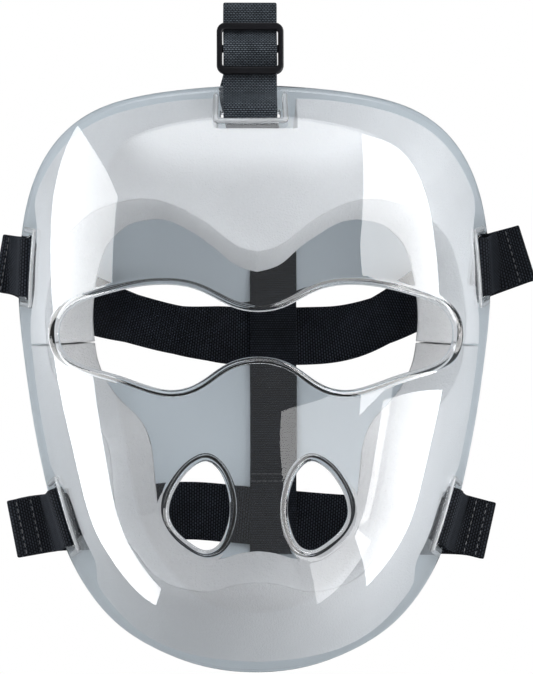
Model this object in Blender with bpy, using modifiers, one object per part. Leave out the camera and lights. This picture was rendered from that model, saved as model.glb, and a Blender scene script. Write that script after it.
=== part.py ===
"""Field hockey face mask lying face up: a clear bent shell with an eye opening and two breathing
vents, two foam pads inside it, and a harness of elastic straps with a webbing and slide buckle.

The shell is one smooth sheet. Every place on it has an unrolled position (u, y): u runs round the
arch of the face, y runs from chin to forehead. Outlines are drawn as seen from the front, in shares
of the shell's half width and half height, and then unrolled onto the sheet.
"""

import math

import bpy
import numpy as np
from mathutils import Vector
from mathutils.geometry import delaunay_2d_cdt

# Driving dimensions of the shell, in metres.
HALF_WIDTH = 0.102
HALF_HEIGHT = 0.124
DEPTH = 0.105
WALL = 0.0028
NOSE_RIDGE = 0.003
NOSE_HALF_WIDTH = 0.016
NOSE_HALF_LENGTH = 0.045
NOSE_HEIGHT = -0.16  # middle of the nose ridge, share of HALF_HEIGHT
EYE_LIP_RADIUS = 0.0032
VENT_LIP_RADIUS = 0.0038

# Foam.
FOAM_THICKNESS = 0.020
GLUE_GAP = 0.0004
FOAM_JOINT_GAP = 0.0004

# Straps, webbing and the slots that they pass through.
ELASTIC_WIDTH = 0.025
ELASTIC_THICKNESS = 0.0014
CROWN_WIDTH = 0.020
WEBBING_WIDTH = 0.0225
WEBBING_THICKNESS = 0.0014
LAYER_GAP = 0.0003
BAR_GAP = 0.0013
WEBBING_BAR_GAP = 0.0008
SLOT_WIDTH = 0.0045
SLOT_SIDE_CLEARANCE = 0.0012
SLOT_CORNER = 0.001
UPPER_BAR = 0.0115
LOWER_BAR = 0.0155
TOP_BAR = 0.017

# How the ends of the side straps fold.
TAIL_SETBACK = 0.0035  # the tail stops this short of the outer end
FOLD_SETBACK = 0.0016  # the outer fold starts this short of the outer end
TAIL_ENTRY = 0.0015  # where the tail passes in under the rim
TAIL_CLIMB = 0.0054  # where it starts up the inner face
TAIL_RISE = 0.0007
DROP_START = 0.0032  # where the top layer comes down off the shell
DROP_END = 0.0052
DROP_RISE = 0.0012
LANDING = 0.008  # how far past its fold the strap lies straight on the surface

# How the crown strap steps over the upper strap and round the lower one.
STEP_MARGIN = 0.006
SLEEVE_MARGIN = 0.004
STEP_RAMP = 0.006
SLEEVE_RAMP = 0.012
DESCENT_RAMP = 0.015
STEP_PLAY = 0.0003
SLEEVE_HALF_SPAN = 0.024  # how far each side of the sleeve the lower strap is raised

# Slide buckle.
BUCKLE_LENGTH = 0.0222
BUCKLE_THICKNESS = 0.003
BUCKLE_BAR = 0.0033
BUCKLE_SIDE = 0.0024
BUCKLE_CORNER = 0.0039
CENTRE_BAR = 0.003
CENTRE_BAR_THICKNESS = 0.0018
BUCKLE_PLAY = 0.0004
BUCKLE_DROOP = math.radians(8)
BAR_RUN = 0.0025  # how far the webbing lies flat behind an end bar
BAR_EXIT = 0.004
WEBBING_LOOP_RADIUS = 0.0017
TAIL_OUT = 0.0027  # the webbing's own tail, past the rim and below its outer face
TAIL_DROP = 0.0011
TAIL_TURN = 0.0007  # where the tail turns up behind the rim, ahead of the rim and below it
TAIL_DIP = 0.0033
REAR_DROP = 0.0040  # how far the rear layer sinks to pass below the tail
JOIN_LEAD = 0.003  # where the webbing meets the end of the crown strap
JOIN_REST = 0.014
JOIN_PLAY = 0.0001

# How finely the sheet is divided.
SHEET_SPACING = 0.0095
RIM_POINTS = 84
EYE_POINTS = 76
VENT_POINTS = 28
LIP_ROWS = 3
PAD_SPACING = 0.011
PAD_EDGE_SPACING = 0.006
SAMPLES_PER_SPAN = 3
SLOPE_STEP = 1e-5

# Sections of the sheet from chin to forehead.
# along: share of HALF_HEIGHT; crest: height on the centre line, share of DEPTH; arch_width: half width
# of the arch's ellipse, share of HALF_WIDTH; arch_depth: its depth, share of DEPTH; fullness: how far
# the cheeks swell out past the ellipse, share of DEPTH.
SECTIONS = [
    # along, crest, arch_width, arch_depth, fullness
    (-1.000, 0.390, 0.755, 1.640, 0.010),
    (-0.847, 0.667, 0.814, 1.620, 0.030),
    (-0.685, 0.848, 0.882, 1.620, 0.052),
    (-0.524, 0.952, 0.946, 1.676, 0.070),
    (-0.323, 1.000, 0.995, 1.686, 0.080),
    (-0.121, 1.000, 1.039, 1.638, 0.083),
    (0.081, 0.967, 1.069, 1.533, 0.083),
    (0.282, 0.900, 1.088, 1.410, 0.080),
    (0.484, 0.805, 1.083, 1.238, 0.072),
    (0.645, 0.719, 1.064, 1.095, 0.060),
    (0.806, 0.610, 1.039, 0.981, 0.042),
    (0.927, 0.481, 1.015, 0.838, 0.024),
    (1.000, 0.390, 1.000, 0.762, 0.015),
]
FULL_SPAN = 1.15  # angle round the arch from the crest to where the swell ends, in radians

# Outlines seen from the front: (across, up), shares of HALF_WIDTH and HALF_HEIGHT.
# Halves run from the centre line at the top round the right side to the centre line below.
RIM = [
    (0, 1), (0.26, 0.989), (0.487, 0.964), (0.665, 0.92), (0.8, 0.846), (0.895, 0.746), (0.957, 0.62),
    (0.993, 0.44), (1, 0.29), (0.975, 0.07), (0.93, -0.18), (0.872, -0.4), (0.79, -0.605),
    (0.695, -0.742), (0.57, -0.85), (0.4, -0.93), (0.2, -0.984), (0, -1),
]
EYE = [
    (0, 0.256), (0.08, 0.266), (0.155, 0.295), (0.24, 0.328), (0.36, 0.345), (0.52, 0.334), (0.68, 0.301),
    (0.79, 0.262), (0.845, 0.205), (0.855, 0.135), (0.82, 0.065), (0.74, 0.024), (0.6, -0.006),
    (0.46, -0.041), (0.35, -0.055), (0.265, -0.041), (0.19, -0.005), (0.12, 0.035), (0.06, 0.053),
    (0, 0.058),
]
VENT = [
    (0.206, -0.234), (0.289, -0.258), (0.353, -0.315), (0.397, -0.387), (0.405, -0.448), (0.373, -0.512),
    (0.304, -0.565), (0.22, -0.597), (0.152, -0.58), (0.103, -0.516), (0.083, -0.432), (0.103, -0.33),
    (0.145, -0.266),
]

# Foam edges on the sheet, right half, from the centre line to the joint between the two pads.
FOREHEAD_FOAM_INNER = [
    (0, 0.427), (0.078, 0.444), (0.172, 0.5), (0.24, 0.54), (0.314, 0.573), (0.392, 0.597), (0.49, 0.605),
    (0.588, 0.591), (0.672, 0.567), (0.74, 0.527), (0.799, 0.476), (0.843, 0.391), (0.87, 0.302),
    (0.882, 0.194), (0.876, 0.113),
]
FOREHEAD_FOAM_OUTER = [
    (0.165, 0.962), (0.294, 0.957), (0.461, 0.937), (0.62, 0.902), (0.745, 0.848), (0.846, 0.765),
    (0.905, 0.685), (0.936, 0.61), (0.928, 0.53), (0.926, 0.46), (0.931, 0.387), (0.936, 0.29),
    (0.95, 0.225), (0.95, 0.113),
]
CHIN_FOAM_INNER = [
    (0.876, 0.113), (0.863, 0.05), (0.819, -0.028), (0.745, -0.097), (0.657, -0.157), (0.613, -0.226),
    (0.598, -0.323), (0.588, -0.419), (0.564, -0.512), (0.51, -0.569), (0.451, -0.633), (0.373, -0.681),
    (0.284, -0.702), (0.196, -0.706), (0.108, -0.685), (0, -0.673),
]
CHIN_FOAM_OUTER = [
    (0.95, 0.113), (0.936, 0.016), (0.914, -0.113), (0.884, -0.242), (0.852, -0.33), (0.797, -0.39),
    (0.755, -0.468), (0.71, -0.565), (0.672, -0.635), (0.668, -0.7), (0.62, -0.765), (0.53, -0.843),
    (0.4, -0.91), (0.2, -0.955), (0, -0.968),
]
# The forehead pad is notched under the top slot, where the webbing passes between it and the shell.
NOTCH_HALF_WIDTH = 0.165
NOTCH_FLOOR = 0.855

# Ends of the side straps. side: +1 right; height: slot centre, share of HALF_HEIGHT; turn: how far the
# loop's outward direction is turned upward from level; back: how far the strap under it slopes down
# on its way back in, both in degrees; overhang: past the rim, in metres.
STRAP_ENDS = {
    "upper_left": {"side": -1, "height": 0.39, "turn": 7, "back": 13, "overhang": 0.008, "bar": UPPER_BAR},
    "upper_right": {"side": 1, "height": 0.4, "turn": 15, "back": 20, "overhang": 0.016, "bar": UPPER_BAR},
    "lower_left": {"side": -1, "height": -0.5, "turn": -10, "back": -12, "overhang": 0.0185,
                   "bar": LOWER_BAR},
    "lower_right": {"side": 1, "height": -0.5, "turn": -15, "back": -10, "overhang": 0.016,
                    "bar": LOWER_BAR},
}

# Where the slack straps lie on the surface, in metres from the shell's middle. They are free to lie
# anyhow, so their points stay as chosen.
UPPER_ROUTE = [
    # across, up, and how far the strap's upper edge is tipped up, in degrees
    (-0.085, 0.0385, 0), (-0.069, 0.0305, 16), (-0.053, 0.0255, 33), (-0.033, 0.0205, 34),
    (-0.019, 0.0190, 20), (-0.007, 0.0180, 2), (0.022, 0.0180, 2), (0.039, 0.0195, 18),
    (0.054, 0.0245, 32), (0.070, 0.0330, 18), (0.085, 0.0415, 0),
]
LOWER_ROUTE = [
    (-0.060, -0.0605, 0), (-0.032, -0.0575, 0), (-0.008, -0.0590, 0), (0.024, -0.0620, 0),
    (0.050, -0.0635, 0),
]
CROWN_X = 0.008
CROWN_TOP = 0.090
CROWN_TAIL = -0.039
CROWN_LOW_FOLD = -0.0757
UPPER_CROSSING = 0.018
LOWER_CROSSING = -0.0602
WEBBING_FRONT_X = -0.0026
WEBBING_REAR_X = -0.0042
WEBBING_JOIN = 0.064
WEBBING_FOLD = 0.0345
BUCKLE_OUT = 0.0145
BUCKLE_RISE = 0.0055

COLOURS = {
    # colour, roughness, transmission
    "shell": ((0.62, 0.70, 0.76, 1), 0.05, 0.9),
    "forehead_pad": ((0.74, 0.76, 0.78, 1), 0.9, 0),
    "chin_pad": ((0.55, 0.55, 0.56, 1), 0.9, 0),
    "upper_elastic": ((0.012, 0.013, 0.017, 1), 0.85, 0),
    "lower_elastic": ((0.012, 0.013, 0.017, 1), 0.85, 0),
    "crown_elastic": ((0.014, 0.015, 0.019, 1), 0.85, 0),
    "crown_webbing": ((0.020, 0.024, 0.028, 1), 0.6, 0),
    "slide_buckle": ((0.012, 0.012, 0.014, 1), 0.4, 0),
}


def cubic(knots, values, at, closed=False):
    """Smooth cubic curve through values at knots, read at the places in at. A closed one repeats."""
    knots = np.asarray(knots, float)
    values = np.asarray(values, float).reshape(len(knots), -1)
    steps = np.diff(knots)
    rise = np.diff(values, axis=0) / steps[:, None]
    count = len(knots)
    matrix = np.eye(count)
    right = np.zeros_like(values)
    for i in range(1, count - 1):
        matrix[i, i - 1 : i + 2] = steps[i - 1], 2 * (steps[i - 1] + steps[i]), steps[i]
        right[i] = 6 * (rise[i] - rise[i - 1])
    if closed:
        matrix[0, -1] = -1
        matrix[-1] = 0
        matrix[-1, 0] = 2 * (steps[-1] + steps[0])
        matrix[-1, 1] = steps[0]
        matrix[-1, -2] = steps[-1]
        right[-1] = 6 * (rise[0] - rise[-1])
    bend = np.linalg.solve(matrix, right)
    span = np.clip(np.searchsorted(knots, at, side="right") - 1, 0, count - 2)
    step = steps[span][:, None]
    after = (np.asarray(at) - knots[span])[:, None]
    before = step - after
    curve = (bend[span] * before**3 + bend[span + 1] * after**3) / (6 * step)
    curve += (values[span] / step - bend[span] * step / 6) * before
    curve += (values[span + 1] / step - bend[span + 1] * step / 6) * after
    return curve


def through(points, count, closed=False):
    """count points at even steps along a smooth curve through the given points."""
    points = np.asarray(points, float)
    if closed:
        points = np.vstack([points, points[:1]])
    lengths = np.linalg.norm(np.diff(points, axis=0), axis=1)
    knots = np.concatenate([[0], np.cumsum(lengths)])
    fine = cubic(knots, points, np.linspace(0, knots[-1], 40 * len(points)), closed)
    run = np.concatenate([[0], np.cumsum(np.linalg.norm(np.diff(fine, axis=0), axis=1))])
    even = np.linspace(0, run[-1], count + 1 if closed else count)
    result = np.stack([np.interp(even, run, column) for column in fine.T], axis=1)
    return result[:-1] if closed else result


def mirrored(half):
    """A closed outline from its right half, both ends of which are on the centre line."""
    return [tuple(point) for point in half] + [(-x, y) for x, y in half[-2:0:-1]]


def real(outline):
    """An outline in shares as one in metres."""
    return np.asarray(outline, float) * (HALF_WIDTH, HALF_HEIGHT)


SECTION_TABLE = np.array(SECTIONS)
ROUND = math.sqrt(0.5)  # share of a fold's radius half way round it


def section(y):
    """Crest height, arch half width, arch depth and fullness of the sheet at y, in metres."""
    along = np.clip(np.asarray(y, float).ravel() / HALF_HEIGHT, -1.02, 1.02)
    found = cubic(SECTION_TABLE[:, 0], SECTION_TABLE[:, 1:], along)
    return (found * (DEPTH, HALF_WIDTH, DEPTH, DEPTH)).T


def unroll(outline):
    """Positions (u, y) on the unrolled sheet of points given as seen from the front."""
    outline = np.asarray(outline, float)
    width = section(outline[:, 1])[1]
    across = np.arcsin(np.clip(outline[:, 0] / width, -1, 1)) * HALF_WIDTH
    return np.stack([across, outline[:, 1]], axis=1)


def sheet(places):
    """Points of the sheet's outer face, before it is set down on its straps."""
    places = np.asarray(places, float)
    crest, width, depth, fullness = section(places[:, 1])
    angle = places[:, 0] / HALF_WIDTH
    x = width * np.sin(angle)
    nose_y = NOSE_HEIGHT * HALF_HEIGHT
    ridge = np.exp(-((x / NOSE_HALF_WIDTH) ** 2) - ((places[:, 1] - nose_y) / NOSE_HALF_LENGTH) ** 2)
    swell = np.sin(np.pi * np.clip(angle / FULL_SPAN, -1, 1)) ** 2
    z = crest - depth * (1 - np.cos(angle)) + fullness * swell + NOSE_RIDGE * ridge
    return np.stack([x, places[:, 1], z], axis=1)


def slopes(places):
    """Derivatives of the sheet along u and y, and its outward unit normal."""
    places = np.asarray(places, float)
    step = 1e-5
    along_u = (sheet(places + (step, 0)) - sheet(places - (step, 0))) / (2 * step)
    along_y = (sheet(places + (0, step)) - sheet(places - (0, step))) / (2 * step)
    normal = np.cross(along_u, along_y)
    return along_u, along_y, normal / np.linalg.norm(normal, axis=1, keepdims=True)


def moved(place, shift):
    """The unrolled place reached from place by a short tangent shift given in space."""
    along_u, along_y, _ = slopes([place])
    jacobian = np.stack([along_u[0], along_y[0]], axis=1)
    return np.asarray(place) + np.linalg.lstsq(jacobian, np.asarray(shift, float), rcond=None)[0]


RIM_LOOP = unroll(through(real(mirrored(RIM)), RIM_POINTS, closed=True))
STACK = 2 * ELASTIC_THICKNESS + 2 * LAYER_GAP
LIFT = STACK + LAYER_GAP - (sheet(RIM_LOOP) - slopes(RIM_LOOP)[2] * WALL)[:, 2].min()


def face(places, depth=0.0):
    """Points depth below the shell's outer face, where the shell stands on its straps."""
    points = sheet(places) + (0, 0, LIFT)
    return points - slopes(places)[2] * depth


def inside(points, loop):
    """True for each point inside a closed loop."""
    x, y = points[:, 0][:, None], points[:, 1][:, None]
    ax, ay = loop[:, 0][None], loop[:, 1][None]
    bx, by = np.roll(loop, -1, axis=0).T[:, None]
    crosses = (ay > y) != (by > y)
    reach = (bx - ax) * (y - ay) / np.where(by == ay, 1, by - ay) + ax
    return (crosses & (x < reach)).sum(axis=1) % 2 == 1


def patch(outer, holes, spacing):
    """Triangles that fill the unrolled region between loops: all its places, and corners of each."""
    loops = [outer] + holes
    low, high = outer.min(axis=0), outer.max(axis=0)
    row_step = spacing * math.sqrt(3) / 2
    rows = np.arange(low[1] + row_step / 2, high[1], row_step)
    across = np.arange(-high[0] - spacing, high[0] + spacing, spacing)
    grid = np.array([(u + (k % 2) * spacing / 2, y) for k, y in enumerate(rows) for u in across])
    keep = inside(grid, outer)
    for hole in holes:
        keep &= ~inside(grid, hole)
    border = np.vstack(loops)
    near = np.linalg.norm(grid[:, None] - border[None], axis=2).min(axis=1)
    grid = grid[keep & (near > 0.55 * spacing)]
    edges = []
    start = 0
    for loop in loops:
        count = len(loop)
        edges += [(start + i, start + (i + 1) % count) for i in range(count)]
        start += count
    places = np.vstack([border, grid])
    found = delaunay_2d_cdt([Vector(place) for place in places], edges, [], 1, 1e-7)
    places = np.array([tuple(v) for v in found[0]])
    corners = np.array([tuple(f) for f in found[2]])
    middle = places[corners].mean(axis=1)
    kept = inside(middle, outer)
    for hole in holes:
        kept &= ~inside(middle, hole)
    return places, corners[kept]


def boundary_index(places, loop):
    """Index among places of each point of a loop."""
    return np.linalg.norm(places[None] - loop[:, None], axis=2).argmin(axis=1)


def lip(loop, radius):
    """Rows of outer and inner points that turn inward round a hole's edge with the given radius."""
    points = face(loop)
    normal = slopes(loop)[2]
    ahead = np.roll(points, -1, axis=0) - np.roll(points, 1, axis=0)
    ahead /= np.linalg.norm(ahead, axis=1, keepdims=True)
    toward = np.cross(normal, ahead)
    toward *= np.sign(((points.mean(axis=0) - points) * toward).sum(axis=1).mean())
    core = points - radius * normal
    rows = []
    for turn in np.linspace(0, math.pi / 2, LIP_ROWS + 1)[1:]:
        out = math.sin(turn) * toward + math.cos(turn) * normal
        rows.append((core + radius * out, core + (radius - WALL) * out))
    return rows


def make_material(name):
    colour, roughness, transmission = COLOURS[name]
    material = bpy.data.materials.new(name)
    material.use_nodes = True
    shader = material.node_tree.nodes["Principled BSDF"]
    shader.inputs["Base Color"].default_value = colour
    shader.inputs["Roughness"].default_value = roughness
    shader.inputs["Transmission Weight"].default_value = transmission
    material.diffuse_color = colour
    return material


def add_mesh(name, points, faces):
    """A new object of the part from points and faces, with its own material."""
    mesh = bpy.data.meshes.new(name)
    mesh.from_pydata([tuple(p) for p in points], [], [tuple(int(i) for i in f) for f in faces])
    mesh.update()
    made = bpy.data.objects.new(name, mesh)
    mesh.materials.append(make_material(name))
    parts.objects.link(made)
    return made


def add_body(name, outer, inner, faces):
    """A closed solid between two faces with the same layout, walled along their open edges. Both
    faces follow the sheet exactly, so that neighbours on it keep their gap."""
    count = len(outer)
    edges = {}
    for corners in faces:
        for i, a in enumerate(corners):
            b = corners[(i + 1) % len(corners)]
            edges[a, b] = True
    walls = [(b, a, a + count, b + count) for a, b in edges if (b, a) not in edges]
    back = [[i + count for i in reversed(corners)] for corners in faces]
    return add_mesh(name, np.vstack([outer, inner]), list(faces) + back + walls)


def facing_out(points, faces):
    """The faces, each turned so that the sheet's normals point away from the head."""
    a, b, c = (points[faces[:, k]] for k in range(3))
    upward = np.cross(b - a, c - a)[:, 2] > 0
    turned = faces.copy()
    turned[~upward] = faces[~upward][:, ::-1]
    return turned


def slot_frame(end):
    """Where a strap passes the rim: unrolled rim place, unit vectors along the rim and inward."""
    loop = RIM_LOOP
    if end == "top":
        rim_place = np.array([unroll([(WEBBING_FRONT_X, HALF_HEIGHT)])[0][0], 0.0])
        rim_place[1] = np.interp(rim_place[0], *rim_top())
    else:
        height = STRAP_ENDS[end]["height"] * HALF_HEIGHT
        edge = loop[loop[:, 0] * STRAP_ENDS[end]["side"] > 0]
        edge = edge[np.argsort(edge[:, 1])]
        rim_place = np.array([np.interp(height, edge[:, 1], edge[:, 0]), height])
    nearest = np.linalg.norm(loop - rim_place, axis=1).argmin()
    before, after = loop[nearest - 2], loop[(nearest + 2) % len(loop)]
    along = face([after])[0] - face([before])[0]
    normal = slopes([rim_place])[2][0]
    along -= normal * (along @ normal)
    along /= np.linalg.norm(along)
    inward = np.cross(normal, along)
    inward *= np.sign(-(face([rim_place])[0][:2] @ inward[:2]))
    return rim_place, along, inward


def rim_top():
    """The rim's unrolled height over u along its top, for reading between its points."""
    upper = RIM_LOOP[RIM_LOOP[:, 1] > 0.9 * HALF_HEIGHT]
    order = np.argsort(upper[:, 0])
    return upper[order, 0], upper[order, 1]


def wall_line(end, distances):
    """Unrolled places at given distances from the rim along a strap's way up the wall."""
    place, _, inward = slot_frame(end)
    line = []
    reached = 0.0
    for distance in distances:
        for _ in range(4):
            place = moved(place, inward * (distance - reached) / 4)
            normal = slopes([place])[2][0]
            inward = inward - normal * (inward @ normal)
            inward /= np.linalg.norm(inward)
        reached = distance
        line.append(place)
    return np.array(line)


def bar_of(end):
    return TOP_BAR if end == "top" else STRAP_ENDS[end]["bar"]


def slot_loop(end, strap_width):
    """The outline of a slot on the unrolled sheet: a rounded rectangle set in from the rim."""
    centre = wall_line(end, [bar_of(end) + SLOT_WIDTH / 2])[0]
    _, along, _ = slot_frame(end)
    normal = slopes([centre])[2][0]
    along = along - normal * (along @ normal)
    along /= np.linalg.norm(along)
    across = np.cross(normal, along)
    half_length = strap_width / 2 + SLOT_SIDE_CLEARANCE - SLOT_CORNER
    half_width = SLOT_WIDTH / 2 - SLOT_CORNER
    loop = []
    for corner, (s, t) in enumerate([(1, 1), (-1, 1), (-1, -1), (1, -1)]):
        for k in range(3):
            turn = math.radians(90 * corner + 45 * k)
            p = s * half_length + SLOT_CORNER * math.cos(turn)
            q = t * half_width + SLOT_CORNER * math.sin(turn)
            loop.append(moved(centre, along * p + across * q))
        if corner in (0, 2):
            for share in (0.5, 0, -0.5):
                p = share * half_length * s
                q = t * (half_width + SLOT_CORNER)
                loop.append(moved(centre, along * p + across * q))
    return np.array(loop)


def build_shell():
    """The clear shell: the whole sheet with its openings, their turned lips and the strap slots."""
    eye = unroll(through(real(mirrored(EYE)), EYE_POINTS, closed=True))
    right_vent = unroll(through(real(VENT), VENT_POINTS, closed=True))
    left_vent = right_vent * (-1, 1)
    slots = [slot_loop(end, ELASTIC_WIDTH) for end in STRAP_ENDS]
    slots.append(slot_loop("top", WEBBING_WIDTH))
    places, corners = patch(RIM_LOOP, [eye, left_vent, right_vent] + slots, SHEET_SPACING)
    outer = face(places)
    inner = face(places, WALL)
    faces = facing_out(outer, corners).tolist()
    for loop, radius in ((eye, EYE_LIP_RADIUS), (left_vent, VENT_LIP_RADIUS), (right_vent, VENT_LIP_RADIUS)):
        index = boundary_index(places, loop).tolist()
        count = len(index)
        ahead = np.roll(loop, -1, axis=0)
        clockwise = (loop[:, 0] * ahead[:, 1] - ahead[:, 0] * loop[:, 1]).sum() < 0
        for outer_row, inner_row in lip(loop, radius):
            fresh = list(range(len(outer), len(outer) + count))
            outer = np.vstack([outer, outer_row])
            inner = np.vstack([inner, inner_row])
            for i in range(count):
                j = (i + 1) % count
                quad = [index[i], index[j], fresh[j], fresh[i]]
                faces.append(quad[::-1] if clockwise else quad)
            index = fresh
    return add_body("shell", outer, inner, faces)


def pad_loop(inner, outer, top_pad):
    """Closed unrolled outline of a pad from its right-hand edges."""
    inner = real(inner)
    outer = real(outer)
    shift = FOAM_JOINT_GAP / 2 if top_pad else -FOAM_JOINT_GAP / 2

    def spaced(points):
        run = np.linalg.norm(np.diff(points, axis=0), axis=1).sum()
        return through(points, max(6, int(run / PAD_EDGE_SPACING)))

    inner = spaced(inner if top_pad else inner[::-1])
    outer = spaced(outer if top_pad else outer[::-1])
    joint_end = inner[-1], outer[-1]
    joint = [joint_end[0] + (joint_end[1] - joint_end[0]) * share for share in (1 / 3, 2 / 3)]
    right = [*inner, *joint, *outer[::-1]]
    for index in (len(inner) - 1, *range(len(inner), len(inner) + 3)):
        right[index] = right[index] + np.array([0, shift])
    if top_pad:
        notch = real([(NOTCH_HALF_WIDTH, 0.93), (NOTCH_HALF_WIDTH, 0.89), (NOTCH_HALF_WIDTH, NOTCH_FLOOR)])
        right += [*notch, real([(NOTCH_HALF_WIDTH / 2, NOTCH_FLOOR)])[0], real([(0, NOTCH_FLOOR)])[0]]
    left = [point * (-1, 1) for point in right[-2:0:-1]]
    return unroll(np.array(right + left))


def build_pad(name, inner, outer, top_pad):
    """One foam pad, glued to the shell's inner face."""
    loop = pad_loop(inner, outer, top_pad)
    places, corners = patch(loop, [], PAD_SPACING)
    front = face(places, WALL + GLUE_GAP)
    back = face(places, WALL + GLUE_GAP + FOAM_THICKNESS)
    return add_body(name, front, back, facing_out(front, corners).tolist())


def ribbon(name, stations, width, thickness):
    """A strap along stations, each a centre, the direction of the strap's width there, and the height
    of what it lies on, below which neither of its edges sinks."""
    centres = np.array([s[0] for s in stations], float)
    sides = np.array([s[1] for s in stations], float)
    run = np.concatenate([[0], np.cumsum(np.sqrt(np.linalg.norm(np.diff(centres, axis=0), axis=1)))])
    count = SAMPLES_PER_SPAN * (len(stations) - 1) + 1
    spread = np.interp(np.linspace(0, len(stations) - 1, count), np.arange(len(stations)), run)
    path = cubic(run, centres, spread)
    side = np.stack([np.interp(spread, run, sides[:, k]) for k in range(3)], axis=1)
    side /= np.linalg.norm(side, axis=1, keepdims=True)
    ahead = cubic(run, centres, spread + SLOPE_STEP) - cubic(run, centres, spread - SLOPE_STEP)
    ahead /= np.linalg.norm(ahead, axis=1, keepdims=True)
    up = np.cross(ahead, side)
    squareness = np.linalg.norm(up, axis=1, keepdims=True)
    up /= squareness
    side /= squareness
    least = np.interp(spread, run, [s[2] if len(s) > 2 else 0.0 for s in stations])
    corners = ((1, 1), (1, -1), (-1, -1), (-1, 1))
    rings = [path + a * side * width / 2 + b * up * thickness / 2 for a, b in corners]
    points = np.stack(rings, axis=1)
    for edge in (points[:, :2], points[:, 2:]):
        edge[:, :, 2] += np.maximum(0, least - edge[:, :, 2].min(axis=1))[:, None]
    points = points.reshape(-1, 3)
    faces = [(0, 1, 2, 3)]
    for i in range(count - 1):
        for k in range(4):
            a, b = 4 * i + k, 4 * i + (k + 1) % 4
            faces.append((b, a, a + 4, b + 4))
    last = 4 * (count - 1)
    faces.append((last + 3, last + 2, last + 1, last))
    return add_mesh(name, points, faces)


def strap_end(end):
    """Stations of a strap's sewn end, from its tail to where it lies on the surface: the tail lies
    under the strap outside the rim, goes under the rim, up the inner face, out through the slot,
    down the bar, and past the tail to a slanted fold down to the surface."""
    settings = STRAP_ENDS[end]
    half = ELASTIC_THICKNESS / 2
    bar = settings["bar"]
    rim_place, along, _ = slot_frame(end)
    turn = math.radians(settings["turn"])
    out = np.array([settings["side"] * math.cos(turn), math.sin(turn), 0])
    across = np.cross((0, 0, 1), out) * settings["side"]
    along = along * np.sign(along @ across)
    flat = along * (1, 1, 0)
    rim = face([rim_place])[0]
    floor = half
    tail_height = floor + ELASTIC_THICKNESS + LAYER_GAP
    top_height = tail_height + ELASTIC_THICKNESS + 2 * LAYER_GAP
    under = WALL + BAR_GAP + half
    steps = [0.3 * bar, 0.65 * bar, bar]
    inner = [face([place], under)[0] for place in wall_line(end, steps)]
    slot = face([wall_line(end, [bar + BAR_GAP + half])[0]], WALL / 2)[0]
    outer = [face([place], -(BAR_GAP + half))[0] for place in wall_line(end, steps)][::-1]
    overhang = settings["overhang"]

    behind = slopes([rim_place])[2][0] * (1, 1, 0)
    behind /= np.linalg.norm(behind)

    def level(distance, height):
        away = out if distance > 0 else behind
        return np.array([rim[0], rim[1], 0]) + away * distance + np.array([0, 0, height])

    fold = (top_height - floor) / 2
    fold_start = overhang - FOLD_SETBACK
    back = math.radians(settings["back"])
    heading = np.array([-settings["side"] * math.cos(back), -math.sin(back), 0])
    past = (out - heading) / np.linalg.norm(out - heading)
    crease = np.cross((0, 0, 1), past) * settings["side"]
    heading_side = np.cross(heading, (0, 0, 1)) * settings["side"]
    begun = level(fold_start, 0)
    on_floor = tail_height - half
    on_tail = top_height - half
    stations = [
        (level(overhang - TAIL_SETBACK, tail_height), across, on_floor),
        (level((overhang - TAIL_SETBACK - TAIL_ENTRY) / 2, tail_height), (flat + across) / 2, on_floor),
        (level(-TAIL_ENTRY, tail_height), flat, on_floor),
        (level(-TAIL_CLIMB, tail_height + TAIL_RISE), (flat + along) / 2, on_floor),
    ]
    stations += [(point, along, on_floor) for point in inner]
    stations.append((slot, along, on_floor))
    stations += [(point, along, on_tail) for point in outer]
    stations += [
        (level(DROP_START, top_height + DROP_RISE), along, on_tail),
        (level(DROP_END, top_height), (flat + 3 * crease) / 4, on_tail),
        (begun + (0, 0, top_height), crease, on_tail),
        (begun + past * ROUND * fold + (0, 0, top_height - (1 - ROUND) * fold), crease),
        (begun + past * fold + (0, 0, top_height - fold), crease),
        (begun + past * ROUND * fold + (0, 0, floor + (1 - ROUND) * fold), crease),
        (begun + (0, 0, floor), crease),
        (begun + heading * FOLD_SETBACK + (0, 0, floor), crease),
        (begun + heading * LANDING + (0, 0, floor), heading_side),
    ]
    return stations


def build_side_elastic(name, left, right, route, rise=0.0):
    """A strap that lies on the surface from its left slot to its right slot, raised where it passes
    over the sleeve of the crown strap."""
    half = ELASTIC_THICKNESS / 2
    points = np.array(route)
    ahead = np.gradient(points[:, :2], axis=0)
    middle = []
    for (x, y, tip), (dx, dy) in zip(points, ahead):
        lifted = rise * math.exp(-(((x - CROWN_X) / SLEEVE_HALF_SPAN) ** 4))
        up = math.sin(math.radians(tip))
        level = np.array([-dy, dx, 0]) / math.hypot(dx, dy)
        side = level * math.sqrt(1 - up * up) + (0, 0, up)
        middle.append((np.array([x, y, half + lifted + up * ELASTIC_WIDTH / 2]), side))
    begin = strap_end(left)
    return ribbon(name, begin + middle + strap_end(right)[::-1], ELASTIC_WIDTH, ELASTIC_THICKNESS)


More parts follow.
